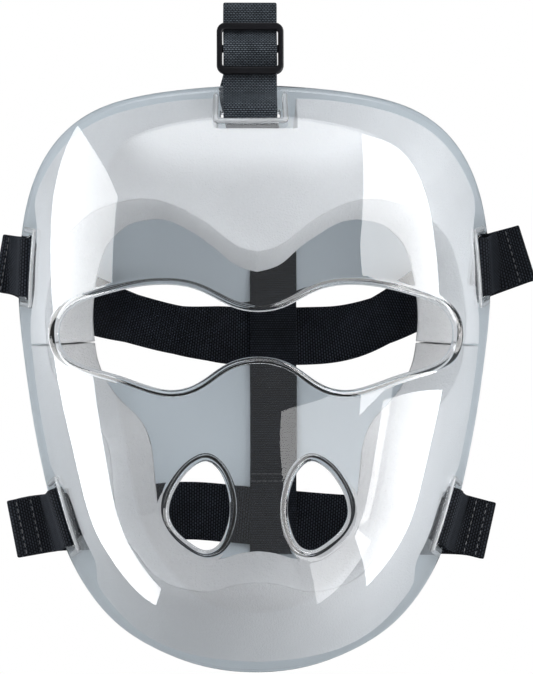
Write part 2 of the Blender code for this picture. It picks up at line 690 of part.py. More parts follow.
def build_crown_elastic():
    """The ribbed strap from the webbing down to a sleeve sewn round the lower strap."""
    half = ELASTIC_THICKNESS / 2
    layer = ELASTIC_THICKNESS + LAYER_GAP
    low, mid, high = half, half + layer, half + 2 * layer
    upper_reach = ELASTIC_WIDTH / 2 + STEP_MARGIN
    lower_reach = ELASTIC_WIDTH / 2 + SLEEVE_MARGIN
    flat_run = CROWN_TOP - UPPER_CROSSING - upper_reach - STEP_RAMP
    fold = (1 - ROUND) * layer
    over_step = mid + STEP_PLAY
    over_sleeve = high + STEP_PLAY
    beside_fold = CROWN_LOW_FOLD + layer + STEP_MARGIN / 3
    side = np.array([1.0, 0, 0])
    profile = [
        (CROWN_TOP, low),
        (CROWN_TOP - 0.35 * flat_run, low),
        (CROWN_TOP - 0.8 * flat_run, low),
        (UPPER_CROSSING + upper_reach + STEP_RAMP, low + STEP_PLAY),
        (UPPER_CROSSING + upper_reach, over_step),
        (UPPER_CROSSING, over_step),
        (UPPER_CROSSING - upper_reach, over_step),
        (UPPER_CROSSING - upper_reach - DESCENT_RAMP, mid),
        (LOWER_CROSSING + lower_reach + SLEEVE_RAMP, high - 0.3 * layer),
        (LOWER_CROSSING + lower_reach, over_sleeve),
        (LOWER_CROSSING, over_sleeve),
        (beside_fold, over_sleeve),
        (CROWN_LOW_FOLD + fold, high - fold),
        (CROWN_LOW_FOLD, mid),
        (CROWN_LOW_FOLD + fold, low + fold),
        (beside_fold, low),
        (LOWER_CROSSING, low),
        (LOWER_CROSSING + 0.5 * lower_reach, low),
        (CROWN_TAIL, low),
    ]
    stations = [(np.array([CROWN_X, y, z]), side) for y, z in profile]
    return ribbon("crown_elastic", stations, CROWN_WIDTH, ELASTIC_THICKNESS)


def buckle_centre():
    """Middle of the slide buckle, just past the rim at the end of the forehead."""
    rim = face([slot_frame("top")[0]])[0]
    return rim + (0, BUCKLE_OUT, BUCKLE_RISE)


def from_buckle(out, up):
    """A point given along and above the drooping buckle's middle plane."""
    cos, sin = math.cos(BUCKLE_DROOP), math.sin(BUCKLE_DROOP)
    return buckle_centre() + np.array([0, out * cos + up * sin, up * cos - out * sin])


def build_webbing():
    """The webbing: round the bar above the forehead, through the buckle, back on itself and in under
    the forehead to the crown strap."""
    half = WEBBING_THICKNESS / 2
    rim_place, along, _ = slot_frame("top")
    along = along * np.sign(along[0])
    side = np.array([1.0, 0, 0])
    under = WALL + WEBBING_BAR_GAP + half
    steps = [0.12 * TOP_BAR, 0.4 * TOP_BAR, 0.7 * TOP_BAR, TOP_BAR]
    inner = [face([place], under)[0] for place in wall_line("top", steps)]
    slot = face([wall_line("top", [TOP_BAR + WEBBING_BAR_GAP + half])[0]], WALL / 2)[0]
    outer = [face([place], -(WEBBING_BAR_GAP + half))[0] for place in wall_line("top", steps[1:])][::-1]
    rim = face([rim_place])[0]
    below = BUCKLE_THICKNESS / 2 + BUCKLE_PLAY + half
    over = CENTRE_BAR_THICKNESS - BUCKLE_THICKNESS / 2 + BUCKLE_PLAY + half
    bars = BUCKLE_LENGTH / 2 - BUCKLE_BAR / 2
    fold_out = WEBBING_FOLD - BUCKLE_OUT
    radius = WEBBING_LOOP_RADIUS
    rear = -(below + 2 * radius)
    stations = [(rim + (0, TAIL_OUT, -TAIL_DROP), side), (rim + (0, -TAIL_TURN, -TAIL_DIP), side)]
    stations += [(point, along) for point in inner]
    stations.append((slot, along))
    stations += [(point, along) for point in outer]
    profile = [
        (-bars, -below),
        (-bars + BAR_RUN, -below + BUCKLE_PLAY),
        (-CENTRE_BAR / 2, over),
        (0, over + BUCKLE_PLAY / 2),
        (CENTRE_BAR / 2, over),
        (bars - BAR_RUN, -below + BUCKLE_PLAY),
        (bars, -below),
        (bars + BAR_EXIT, -below),
        (fold_out - radius, -below),
        (fold_out - (1 - ROUND) * radius, -below - (1 - ROUND) * radius),
        (fold_out, -below - radius),
        (fold_out - (1 - ROUND) * radius, rear + (1 - ROUND) * radius),
        (fold_out - radius, rear),
        (BAR_EXIT, rear),
        (-bars, rear - REAR_DROP),
    ]
    stations += [(from_buckle(out, up), side) for out, up in profile]
    shift = WEBBING_FRONT_X - rim[0]
    stations = [(place + (shift, 0, 0), s) for place, s in stations]
    join = half + ELASTIC_THICKNESS + LAYER_GAP
    descent = [
        (WEBBING_REAR_X, 0.97, 0.30), (WEBBING_REAR_X / 2, 0.90, 0.205), (0, 0.83, 0.105),
        (CROWN_X / 2, 0.765, 0.042),
    ]
    for x, up, height in descent:
        stations.append((np.array([x, up * HALF_HEIGHT, height * DEPTH]), side))
    ending = [
        (0.75 * CROWN_X, CROWN_TOP - JOIN_LEAD),
        (CROWN_X, CROWN_TOP - JOIN_REST),
        (CROWN_X, WEBBING_JOIN),
    ]
    stations += [(np.array([x, y, join + JOIN_PLAY]), side) for x, y in ending]
    return ribbon("crown_webbing", stations, WEBBING_WIDTH, WEBBING_THICKNESS)


def rounded_block(name, size, corner, collection):
    """A block with rounded upright edges, its middle at the origin."""
    bpy.ops.mesh.primitive_cube_add(size=1)
    block = bpy.context.object
    block.name = name
    block.scale = size
    bpy.ops.object.transform_apply(location=False, rotation=False, scale=True)
    for owner in list(block.users_collection):
        owner.objects.unlink(block)
    collection.objects.link(block)
    if corner:
        weights = block.data.attributes.new("bevel_weight_edge", "FLOAT", "EDGE")
        for edge in block.data.edges:
            a, b = (block.data.vertices[i].co for i in edge.vertices)
            weights.data[edge.index].value = 1.0 if abs(a.z - b.z) > size[2] / 2 else 0.0
        bevel = block.modifiers.new("Corners", "BEVEL")
        bevel.limit_method = "WEIGHT"
        bevel.width = corner
        bevel.segments = 5
    return block


def build_buckle():
    """The slide buckle: a rounded frame with a centre bar that the webbing runs over."""
    window_width = WEBBING_WIDTH + 2 * BUCKLE_PLAY
    width = window_width + 2 * BUCKLE_SIDE
    window_length = BUCKLE_LENGTH - 2 * BUCKLE_BAR
    frame = rounded_block("slide_buckle", (width, BUCKLE_LENGTH, BUCKLE_THICKNESS), BUCKLE_CORNER, parts)
    frame.data.materials.append(make_material("slide_buckle"))
    gap_length = (window_length - CENTRE_BAR) / 2
    cuts = []
    for side in (-1, 1):
        cut = rounded_block("window", (window_width, gap_length, 4 * BUCKLE_THICKNESS), 0, cutters)
        cut.location = (0, side * (CENTRE_BAR + gap_length) / 2, 0)
        cuts.append(cut)
    relief = rounded_block("relief", (window_width, window_length - 0.0001, BUCKLE_THICKNESS), 0, cutters)
    relief.location = (0, 0, CENTRE_BAR_THICKNESS)
    cuts.append(relief)
    for cut in cuts:
        cut.hide_render = True
        cut.display_type = "WIRE"
        cut.parent = frame
        opening = frame.modifiers.new("Opening", "BOOLEAN")
        opening.object = cut
        opening.solver = "EXACT"
    centre = buckle_centre()
    frame.location = (WEBBING_FRONT_X, centre[1], centre[2])
    frame.rotation_euler = (-BUCKLE_DROOP, 0, 0)
    return frame


for stale in list(bpy.data.objects):
    bpy.data.objects.remove(stale, do_unlink=True)
parts = bpy.data.collections.new("hockey_face_mask")
cutters = bpy.data.collections.new("cutters")
bpy.context.scene.collection.children.link(parts)
bpy.context.scene.collection.children.link(cutters)

build_shell()
build_pad("forehead_pad", FOREHEAD_FOAM_INNER, FOREHEAD_FOAM_OUTER, True)
build_pad("chin_pad", CHIN_FOAM_INNER, CHIN_FOAM_OUTER, False)
build_side_elastic("upper_elastic", "upper_left", "upper_right", UPPER_ROUTE)
build_side_elastic("lower_elastic", "lower_left", "lower_right", LOWER_ROUTE, ELASTIC_THICKNESS + LAYER_GAP)
build_crown_elastic()
build_webbing()
build_buckle()

# The frame's origin is under the middle of the whole mask with its straps.
bpy.context.view_layer.update()
graph = bpy.context.evaluated_depsgraph_get()
corners = []
for made in parts.objects:
    evaluated = made.evaluated_get(graph)
    corners += [made.matrix_world @ Vector(corner) for corner in evaluated.bound_box]
low = [min(corner[k] for corner in corners) for k in range(3)]
high = [max(corner[k] for corner in corners) for k in range(3)]
for made in parts.objects:
    made.location.x -= (low[0] + high[0]) / 2
    made.location.y -= (low[1] + high[1]) / 2
    made.location.z -= low[2]
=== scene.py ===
# %% [markdown]
# A field hockey face mask lies face up on its own slack straps. The CAD gives eight solids: a clear
# bent shell, two foam pads, three elastics, a webbing and its slide buckle. This lesson dresses each
# of them with a fine surface and a finish, and leaves every one of them in the place the CAD gives it.
#
# First comes the imported model, and the shell's box is kept.

# %% Load the frame
import math

import bpy
import numpy as np
from mathutils import Matrix, Vector
from mathutils.geometry import delaunay_2d_cdt


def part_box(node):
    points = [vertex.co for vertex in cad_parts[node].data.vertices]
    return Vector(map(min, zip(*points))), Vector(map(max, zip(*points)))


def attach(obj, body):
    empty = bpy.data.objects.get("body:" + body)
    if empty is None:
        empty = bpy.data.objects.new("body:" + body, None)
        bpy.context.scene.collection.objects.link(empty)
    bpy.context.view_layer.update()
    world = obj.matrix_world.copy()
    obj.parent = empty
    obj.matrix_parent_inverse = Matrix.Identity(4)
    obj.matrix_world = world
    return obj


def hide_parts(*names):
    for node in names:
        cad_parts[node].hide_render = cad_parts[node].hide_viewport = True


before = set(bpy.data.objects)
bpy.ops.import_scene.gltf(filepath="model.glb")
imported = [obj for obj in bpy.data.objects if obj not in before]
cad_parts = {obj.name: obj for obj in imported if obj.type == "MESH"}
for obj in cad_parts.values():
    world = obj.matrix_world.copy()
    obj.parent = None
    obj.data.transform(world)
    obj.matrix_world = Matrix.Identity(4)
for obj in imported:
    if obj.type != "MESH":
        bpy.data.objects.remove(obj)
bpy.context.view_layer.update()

shell_low, shell_high = (np.array(corner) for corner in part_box("shell"))
MIDDLE = (shell_low + shell_high) / 2 * (1, 1, 0)

# %% [markdown]
# The photograph looks straight down on the mask from about a metre and a half, with a long lens. The
# camera is made first, because every reflection in the clear shell depends on where it stands. It
# could be placed by eye; it is worked out from the size of the frame and the scale of the photograph.

# %% Camera
CAMERA_TARGET = MIDDLE + (0.0052, 0.01755, 0)
CAMERA_OFFSET = np.array([-0.0308, 0, 1.5])
FRAME_WIDTH = 0.2305  # how much of the surface the frame's width covers, in metres
SENSOR = 36.0

camera_data = bpy.data.cameras.new("camera")
camera_data.sensor_fit = "HORIZONTAL"
camera_data.sensor_width = SENSOR
camera_data.lens = SENSOR * float(np.linalg.norm(CAMERA_OFFSET)) / FRAME_WIDTH
camera_data.clip_start = 0.05
camera_data.clip_end = 20
camera = bpy.data.objects.new("camera", camera_data)
bpy.context.scene.collection.objects.link(camera)
back = CAMERA_OFFSET / np.linalg.norm(CAMERA_OFFSET)
right = np.cross((0, 1, 0), back)
stand = np.eye(4)
stand[:3, 0], stand[:3, 1], stand[:3, 2] = right, np.cross(back, right), back
stand[:3, 3] = CAMERA_TARGET + CAMERA_OFFSET
camera.matrix_world = Matrix(stand.tolist())
bpy.context.scene.camera = camera
print("camera lens", round(camera_data.lens, 1), "mm")

# %% [markdown]
# The shell of the real mask is one sheet of clear plastic, heated and pressed over a mould. Its shape
# is a smooth function of two parameters: u runs round the arch of the face, y from chin to forehead.
# A few named sections give the crest's height, the arch's width and depth, and how full the cheeks are,
# and a smooth curve runs through them. Everything that is glued to the shell uses the same function.

# %% Sizes and sections of the sheet
HALF_WIDTH = 0.102
HALF_HEIGHT = 0.124
DEPTH = 0.105
WALL = 0.0028
NOSE_RIDGE = 0.003
NOSE_HALF_WIDTH = 0.016
NOSE_HALF_LENGTH = 0.045
NOSE_HEIGHT = -0.16
FULL_SPAN = 1.15
SECTIONS_REACH = 1.02  # the sections are read no further than this, in half heights
SLOPE_STEP = 1e-5

SECTIONS = np.array([
    # along, crest, arch width, arch depth, fullness, as shares of the shell's own sizes
    (-1.000, 0.390, 0.755, 1.640, 0.010),
    (-0.847, 0.667, 0.814, 1.620, 0.030),
    (-0.685, 0.848, 0.882, 1.620, 0.052),
    (-0.524, 0.952, 0.946, 1.676, 0.070),
    (-0.323, 1.000, 0.995, 1.686, 0.080),
    (-0.121, 1.000, 1.039, 1.638, 0.083),
    (0.081, 0.967, 1.069, 1.533, 0.083),
    (0.282, 0.900, 1.088, 1.410, 0.080),
    (0.484, 0.805, 1.083, 1.238, 0.072),
    (0.645, 0.719, 1.064, 1.095, 0.060),
    (0.806, 0.610, 1.039, 0.981, 0.042),
    (0.927, 0.481, 1.015, 0.838, 0.024),
    (1.000, 0.390, 1.000, 0.762, 0.015),
])

# %% Smooth curves through a few points
SAMPLES_A_POINT = 40


def cubic(knots, values, at, closed=False):
    """A curve of cubic pieces that passes through values at knots with no jump in slope or bend. The
    bends at the knots solve one row of equations, and each piece is read from the two it lies between."""
    knots = np.asarray(knots, float)
    values = np.asarray(values, float).reshape(len(knots), -1)
    steps = np.diff(knots)
    rise = np.diff(values, axis=0) / steps[:, None]
    count = len(knots)
    matrix = np.eye(count)
    right = np.zeros_like(values)
    inner = np.arange(1, count - 1)
    matrix[inner, inner - 1] = steps[:-1]
    matrix[inner, inner] = 2 * (steps[:-1] + steps[1:])
    matrix[inner, inner + 1] = steps[1:]
    right[1:-1] = 6 * np.diff(rise, axis=0)
    if closed:
        matrix[0, -1] = -1
        matrix[-1] = 0
        matrix[-1, 0] = 2 * (steps[-1] + steps[0])
        matrix[-1, 1] = steps[0]
        matrix[-1, -2] = steps[-1]
        right[-1] = 6 * (rise[0] - rise[-1])
    bend = np.linalg.solve(matrix, right)
    span = np.clip(np.searchsorted(knots, at, side="right") - 1, 0, count - 2)
    step = steps[span][:, None]
    after = (np.asarray(at) - knots[span])[:, None]
    before = step - after
    curve = (bend[span] * before**3 + bend[span + 1] * after**3) / (6 * step)
    curve += (values[span] / step - bend[span] * step / 6) * before
    curve += (values[span + 1] / step - bend[span + 1] * step / 6) * after
    return curve


def through(points, count, closed=False):
    """count points at even steps along a smooth curve through the given points."""
    points = np.asarray(points, float)
    if closed:
        points = np.vstack([points, points[:1]])
    lengths = np.linalg.norm(np.diff(points, axis=0), axis=1)
    knots = np.concatenate([[0], np.cumsum(lengths)])
    fine = cubic(knots, points, np.linspace(0, knots[-1], SAMPLES_A_POINT * len(points)), closed)
    run = np.concatenate([[0], np.cumsum(np.linalg.norm(np.diff(fine, axis=0), axis=1))])
    even = np.linspace(0, run[-1], count + 1 if closed else count)
    result = np.stack([np.interp(even, run, column) for column in fine.T], axis=1)
    return result[:-1] if closed else result


def unit(vectors):
    """Vectors made one long."""
    return vectors / np.linalg.norm(vectors, axis=-1, keepdims=True)


# %% The sheet as a function of two parameters


def section(y):
    """Crest height, arch half width, arch depth and fullness of the sheet at y, in metres."""
    along = np.clip(np.asarray(y, float).ravel() / HALF_HEIGHT, -SECTIONS_REACH, SECTIONS_REACH)
    found = cubic(SECTIONS[:, 0], SECTIONS[:, 1:], along)
    return (found * (DEPTH, HALF_WIDTH, DEPTH, DEPTH)).T


def sheet(places):
    """Points of the outer face: x is the arch's half width times the sine of u's angle, y stays, and z is
    the crest less the arch's depth times (1 - cosine), plus the swell of the cheeks and the nose ridge."""
    places = np.asarray(places, float)
    crest, width, depth, fullness = section(places[:, 1])
    angle = places[:, 0] / HALF_WIDTH
    x = width * np.sin(angle)
    nose_y = NOSE_HEIGHT * HALF_HEIGHT
    ridge = np.exp(-((x / NOSE_HALF_WIDTH) ** 2) - ((places[:, 1] - nose_y) / NOSE_HALF_LENGTH) ** 2)
    swell = np.sin(np.pi * np.clip(angle / FULL_SPAN, -1, 1)) ** 2
    z = crest - depth * (1 - np.cos(angle)) + fullness * swell + NOSE_RIDGE * ridge
    return np.stack([x, places[:, 1], z], axis=1)


def slopes(places):
    """The sheet's slopes along u and y by small differences, and its normal, their cross product."""
    places = np.asarray(places, float)
    u, y = (SLOPE_STEP, 0), (0, SLOPE_STEP)
    along_u = (sheet(places + u) - sheet(places - u)) / (2 * SLOPE_STEP)
    along_y = (sheet(places + y) - sheet(places - y)) / (2 * SLOPE_STEP)
    return along_u, along_y, unit(np.cross(along_u, along_y))


def unroll(outline):
    """Positions (u, y) of points seen from the front: u is the arc sine of x over the arch's width."""
    outline = np.asarray(outline, float)
    width = section(outline[:, 1])[1]
    across = np.arcsin(np.clip(outline[:, 0] / width, -1, 1)) * HALF_WIDTH
    return np.stack([across, outline[:, 1]], axis=1)


def moved(places, shifts):
    """Unrolled places reached by short shifts in space: the two slopes that fit each shift best."""
    along_u, along_y, _ = slopes(places)
    uu, uy, yy = (along_u**2).sum(1), (along_u * along_y).sum(1), (along_y**2).sum(1)
    su, sy = (shifts * along_u).sum(1), (shifts * along_y).sum(1)
    steps = np.stack([su * yy - sy * uy, sy * uu - su * uy], axis=1)
    return np.asarray(places) + steps / (uu * yy - uy**2)[:, None]


# %% The outline of the shell, and how high it stands on its straps
RIM = [
    (0, 1), (0.26, 0.989), (0.487, 0.964), (0.665, 0.92), (0.8, 0.846), (0.895, 0.746), (0.957, 0.62),
    (0.993, 0.44), (1, 0.29), (0.975, 0.07), (0.93, -0.18), (0.872, -0.4), (0.79, -0.605),
    (0.695, -0.742), (0.57, -0.85), (0.4, -0.93), (0.2, -0.984), (0, -1),
]
ELASTIC_WIDTH = 0.025
ELASTIC_THICKNESS = 0.0014
LAYER_GAP = 0.0003
RIM_POINTS = 84


def mirrored(half):
    """A closed outline from its right half, both ends of which are on the centre line."""
    return [tuple(point) for point in half] + [(-x, y) for x, y in half[-2:0:-1]]


def real(outline):
    """An outline in shares as one in metres."""
    return np.asarray(outline, float) * (HALF_WIDTH, HALF_HEIGHT)


RIM_LOOP = unroll(through(real(mirrored(RIM)), RIM_POINTS, closed=True))
STACK = 2 * ELASTIC_THICKNESS + 2 * LAYER_GAP
LIFT = STACK + LAYER_GAP - (sheet(RIM_LOOP) - slopes(RIM_LOOP)[2] * WALL)[:, 2].min()


def face(places, depth=0.0):
    """Points depth below the shell's outer face, straight along its normal."""
    return sheet(places) + (0, 0, LIFT) - slopes(places)[2] * depth


print("shell stands", round(1000 * (face(RIM_LOOP, WALL)[:, 2].min()), 2), "mm above the surface")

# %% [markdown]
# Every new piece becomes a mesh in the same way: points, faces and the direction that each point
# should face. A face whose corners run the wrong way round is simply read backwards, so that no piece
# is ever inside out. Normals worked out from the shape keep the reflections in the plastic smooth.

# %% From arrays to a mesh


def turned_out(points, normals, faces):
    """Faces that look along their corners' normals: where the cross product of a face's first two spans
    points the other way, its corners are read backwards."""
    corner = points[faces]
    first, second = ((0, 2), (1, 3)) if faces.shape[1] == 4 else ((0, 1), (0, 2))
    across = np.cross(corner[:, first[1]] - corner[:, first[0]], corner[:, second[1]] - corner[:, second[0]])
    wrong = (across * normals[faces].mean(axis=1)).sum(axis=1) < 0
    return np.where(wrong[:, None], faces[:, ::-1], faces)


def skin(rings):
    """Quads between each ring of point numbers and the next, closed round the rings."""
    a, b = rings[:-1], rings[1:]
    return np.stack([a, np.roll(a, -1, 1), np.roll(b, -1, 1), b], axis=2).reshape(-1, 4)


def plant(name, points, faces, normals=None, weave=None, marks=None):
    """A new object from points and lists of faces, set down on the mask's middle. weave is a (u, v) in
    metres for each point, marks are named numbers for each point."""
    mesh = bpy.data.meshes.new(name)
    rows = [corners for group in faces for corners in np.asarray(group).tolist()]
    mesh.from_pydata((points + MIDDLE).tolist(), [], rows)
    mesh.update()
    corner_point = np.empty(len(mesh.loops), dtype=np.int32)
    mesh.loops.foreach_get("vertex_index", corner_point)
    if weave is not None:
        layer = mesh.uv_layers.new(name="weave")
        layer.data.foreach_set("uv", weave[corner_point].astype(np.float32).ravel())
    for mark, values in (marks or {}).items():
        attribute = mesh.attributes.new(mark, "FLOAT", "POINT")
        attribute.data.foreach_set("value", np.asarray(values, dtype=np.float32))
    mesh.polygons.foreach_set("use_smooth", np.ones(len(mesh.polygons), dtype=bool))
    if normals is not None:
        mesh.normals_split_custom_set_from_vertices(normals.tolist())
    made = bpy.data.objects.new(name, mesh)
    bpy.context.scene.collection.objects.link(made)
    triangles = sum(len(group) * (np.asarray(group).shape[1] - 2) for group in faces)
    print(name, len(points), "points", triangles, "triangles")
    return made


def belongs(piece, slot, *nodes):
    """The piece stands for its CAD nodes, which are hidden, and rides with the mask. slot is not used."""
    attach(piece, "root")
    if nodes:
        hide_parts(*nodes)
    return piece


# %% Filling an outline and finishing its edges
BLOCK = 1500
FIRST_ROW = 0.43  # how far the grid starts above an outline's lowest point, in spacings
EDGE_CLEARANCE = 0.55  # how far the grid stays off the outline, in spacings
JOIN_WITHIN = 1e-7
CUT_TURNS = (0.4, 2.7)  # a profile's points that turn by more and less than these are its wall


def inside(points, loop):
    """True for each point from which a line to the side crosses the loop an odd number of times."""
    x, y = points[:, 0][:, None], points[:, 1][:, None]
    ax, ay = loop[:, 0][None], loop[:, 1][None]
    bx, by = np.roll(loop, -1, axis=0).T[:, None]
    crosses = (ay > y) != (by > y)
    reach = (bx - ax) * (y - ay) / np.where(by == ay, 1, by - ay) + ax
    return (crosses & (x < reach)).sum(axis=1) % 2 == 1


def nearest(points, others):
    """Distance from each point to the nearest of others, worked out in blocks to spare memory."""
    blocks = np.array_split(points, max(1, len(points) // BLOCK))
    return np.concatenate([np.linalg.norm(b[:, None] - others[None], axis=2).min(axis=1) for b in blocks])


def patch(outer, holes, spacing):
    """Triangles over the unrolled region between loops: a grid of even triangles inside, and the loops'
    own points at the edges, joined by Delaunay's rule."""
    low, high = outer.min(axis=0), outer.max(axis=0)
    rows = np.arange(low[1] + spacing * FIRST_ROW, high[1], spacing * math.sqrt(3) / 2)
    across = np.arange(-high[0] - spacing, high[0] + spacing, spacing)
    u, y = np.meshgrid(across, rows)
    u = u + (np.arange(len(rows)) % 2)[:, None] * spacing / 2
    grid = np.stack([u.ravel(), y.ravel()], axis=1)
    keep = inside(grid, outer)
    for hole in holes:
        keep &= ~inside(grid, hole)
    grid = grid[keep]
    border = np.vstack([outer] + holes)
    grid = grid[nearest(grid, border) > EDGE_CLEARANCE * spacing]
    starts = np.cumsum([0] + [len(loop) for loop in [outer] + holes])
    edges = []
    for start, end in zip(starts[:-1], starts[1:]):
        ring = np.arange(start, end)
        edges += np.stack([ring, np.roll(ring, -1)], axis=1).tolist()
    seeds = [Vector(place) for place in np.vstack([border, grid])]
    found = delaunay_2d_cdt(seeds, edges, [], 1, JOIN_WITHIN)
    places = np.array([tuple(place) for place in found[0]])
    corners = np.array([tuple(corner) for corner in found[2]])
    middle = places[corners].mean(axis=1)
    kept = inside(middle, outer)
    for hole in holes:
        kept &= ~inside(middle, hole)
    return places, corners[kept]


def edge_frame(loop):
    """For each point of a loop on the sheet, the normal and the level direction towards its inside: the
    normal crossed with the way ahead, turned over if the loop runs clockwise."""
    points, normal = face(loop), slopes(loop)[2]
    ahead = unit(np.roll(points, -1, axis=0) - np.roll(points, 1, axis=0))
    after = np.roll(loop, -1, axis=0)
    area = (loop[:, 0] * after[:, 1] - after[:, 0] * loop[:, 1]).sum()
    return normal, unit(np.cross(normal, ahead)) * np.sign(area)


def slab(places, corners, edges, depth, thickness):
    """A closed sheet of a thickness between two faces, with a profile swept round each of its edges.
    edges are (loop, sign, profile): sign is +1 where the profile leads into the loop and -1 where it
    leads out of it; a profile gives (out, down, turn) for each row, from the outer face to the inner."""
    normal = slopes(places)[2]
    points = [face(places, depth), face(places, depth + thickness)]
    normals = [normal, -normal]
    marks = [np.zeros(len(places)), np.zeros(len(places))]
    count = len(places)
    groups = [corners, corners + count]
    start = 2 * count
    for loop, sign, (out, down, turn) in edges:
        up, into = edge_frame(loop)
        away = into * sign
        base = face(loop, depth)
        rows = base[None] + out[:, None, None] * away - down[:, None, None] * up
        leans = np.sin(turn)[:, None, None] * away + np.cos(turn)[:, None, None] * up
        first = np.linalg.norm(places[None] - loop[:, None], axis=2).argmin(axis=1)
        length = len(loop)
        index = start + np.arange(rows.shape[0] * length).reshape(-1, length)
        index = np.vstack([first, index, first + count])
        points.append(rows.reshape(-1, 3))
        normals.append(leans.reshape(-1, 3))
        marks.append(np.repeat(((turn > CUT_TURNS[0]) & (turn < CUT_TURNS[1])).astype(float), length))
        start += rows.shape[0] * length
        groups.append(skin(index))
    points, normals = np.vstack(points), np.vstack(normals)
    return points, normals, [turned_out(points, normals, group) for group in groups], np.concatenate(marks)


# %% Edge profiles
HALF_TURN = np.pi
EDGE_ROWS = 9
LIP_ROWS = 9
CAP_ROWS = 8


def round_edge(radius, thickness, rows=EDGE_ROWS, middle=0):
    """A profile that goes out and round by a quarter turn of radius, straight down, and round again."""
    turn = np.linspace(0, HALF_TURN / 2, rows)[1:]
    out = radius * np.sin(turn)
    down = radius * (1 - np.cos(turn))
    straight = np.linspace(radius, thickness - radius, middle + 2)[1:-1]
    outs = np.concatenate([out, np.full(middle, radius), out[::-1]])
    downs = np.concatenate([down, straight, thickness - down[::-1]])
    turns = np.concatenate([turn, np.full(middle, HALF_TURN / 2), HALF_TURN - turn[::-1]])
    return outs, downs, turns


def lip_edge(radius, reach, thickness=WALL):
    """A profile that bends inward by the angle reach on an outer radius, and ends in a half round."""
    bend = np.linspace(0, reach, LIP_ROWS)[1:]
    cap = np.linspace(0, HALF_TURN, CAP_ROWS)[1:-1]
    mid = radius - thickness / 2
    half = thickness / 2
    inner = radius - thickness
    cap_out = mid * np.sin(reach) + half * np.sin(reach + cap)
    cap_down = radius - mid * np.cos(reach) - half * np.cos(reach + cap)
    outs = np.concatenate([radius * np.sin(bend), cap_out, inner * np.sin(bend[::-1])])
    downs = np.concatenate([radius * (1 - np.cos(bend)), cap_down, radius - inner * np.cos(bend[::-1])])
    turns = np.concatenate([bend, reach + cap, bend[::-1] + HALF_TURN])
    return outs, downs, turns


# %% [markdown]
# The rim, the eye opening, the two vents and the strap slots are drawn as seen from the front, each a
# smooth curve through a few points, and unrolled onto the sheet. The openings' edges of the real mask
# are rolled inward, which stiffens them; that roll is a profile swept round each opening. Straight
# holes cut with a boolean could do it too, but would leave a sharp edge with no highlight.

# %% Openings of the shell
EYE = [
    (0, 0.256), (0.08, 0.266), (0.155, 0.295), (0.24, 0.328), (0.36, 0.345), (0.52, 0.334), (0.68, 0.301),
    (0.79, 0.262), (0.845, 0.205), (0.855, 0.135), (0.82, 0.065), (0.74, 0.024), (0.6, -0.006),
    (0.46, -0.041), (0.35, -0.055), (0.265, -0.041), (0.19, -0.005), (0.12, 0.035), (0.06, 0.053),
    (0, 0.058),
]
VENT = [
    (0.206, -0.234), (0.289, -0.258), (0.353, -0.315), (0.397, -0.387), (0.405, -0.448), (0.373, -0.512),
    (0.304, -0.565), (0.22, -0.597), (0.152, -0.58), (0.103, -0.516), (0.083, -0.432), (0.103, -0.33),
    (0.145, -0.266),
]
EYE_LIP_RADIUS = 0.0032
VENT_LIP_RADIUS = 0.0038
LIP_REACH = math.radians(78)
SLOT_WIDTH = 0.0045
SLOT_SIDE_CLEARANCE = 0.0012
SLOT_CORNER = 0.001
SLOT_CORNER_POINTS = 6
SLOT_POINT_SPACING = 0.0013
SLOT_ROUNDING = 0.0005
WEBBING_WIDTH = 0.0225
TOP_BAR = 0.017
WEBBING_FRONT_X = -0.0026
STRAP_ENDS = {
    "upper_left": {"side": -1, "height": 0.39, "turn": 7, "back": 13, "overhang": 0.008, "bar": 0.0115},
    "upper_right": {"side": 1, "height": 0.40, "turn": 15, "back": 20, "overhang": 0.016, "bar": 0.0115},
    "lower_left": {"side": -1, "height": -0.50, "turn": -10, "back": -12, "overhang": 0.0185, "bar": 0.0155},
    "lower_right": {"side": 1, "height": -0.50, "turn": -15, "back": -10, "overhang": 0.016, "bar": 0.0155},
}

# %% Where the straps pass the rim
RIM_TOP = 0.9  # the rim's points above this share of the half height are its top
RIM_SPAN = 2  # how many of the rim's points on each side give its direction
WALL_STEPS = 4


def rim_top():
    """The rim's unrolled height over u along its top, for reading between its points."""
    upper = RIM_LOOP[RIM_LOOP[:, 1] > RIM_TOP * HALF_HEIGHT]
    order = np.argsort(upper[:, 0])
    return upper[order, 0], upper[order, 1]


def slot_frame(end):
    """The unrolled place where a strap passes the rim, and directions along the rim and inward."""
    if end == "top":
        rim_place = np.array([unroll([(WEBBING_FRONT_X, HALF_HEIGHT)])[0][0], 0.0])
        rim_place[1] = np.interp(rim_place[0], *rim_top())
    else:
        height = STRAP_ENDS[end]["height"] * HALF_HEIGHT
        edge = RIM_LOOP[RIM_LOOP[:, 0] * STRAP_ENDS[end]["side"] > 0]
        edge = edge[np.argsort(edge[:, 1])]
        rim_place = np.array([np.interp(height, edge[:, 1], edge[:, 0]), height])
    near = np.linalg.norm(RIM_LOOP - rim_place, axis=1).argmin()
    before, after = RIM_LOOP[near - RIM_SPAN], RIM_LOOP[(near + RIM_SPAN) % len(RIM_LOOP)]
    normal = slopes([rim_place])[2][0]
    along = face([after])[0] - face([before])[0]
    along = unit(along - normal * (along @ normal))
    inward = np.cross(normal, along)
    inward *= np.sign(-(face([rim_place])[0][:2] @ inward[:2]))
    return rim_place, along, inward


def wall_line(end, distances):
    """Unrolled places at given distances from the rim along a strap's way up the wall."""
    place, _, inward = slot_frame(end)
    line = []
    reached = 0.0
    for distance in distances:
        for _ in range(WALL_STEPS):
            place = moved([place], inward[None] * (distance - reached) / WALL_STEPS)[0]
            normal = slopes([place])[2][0]
            inward = unit(inward - normal * (inward @ normal))
        reached = distance
        line.append(place)
    return np.array(line)


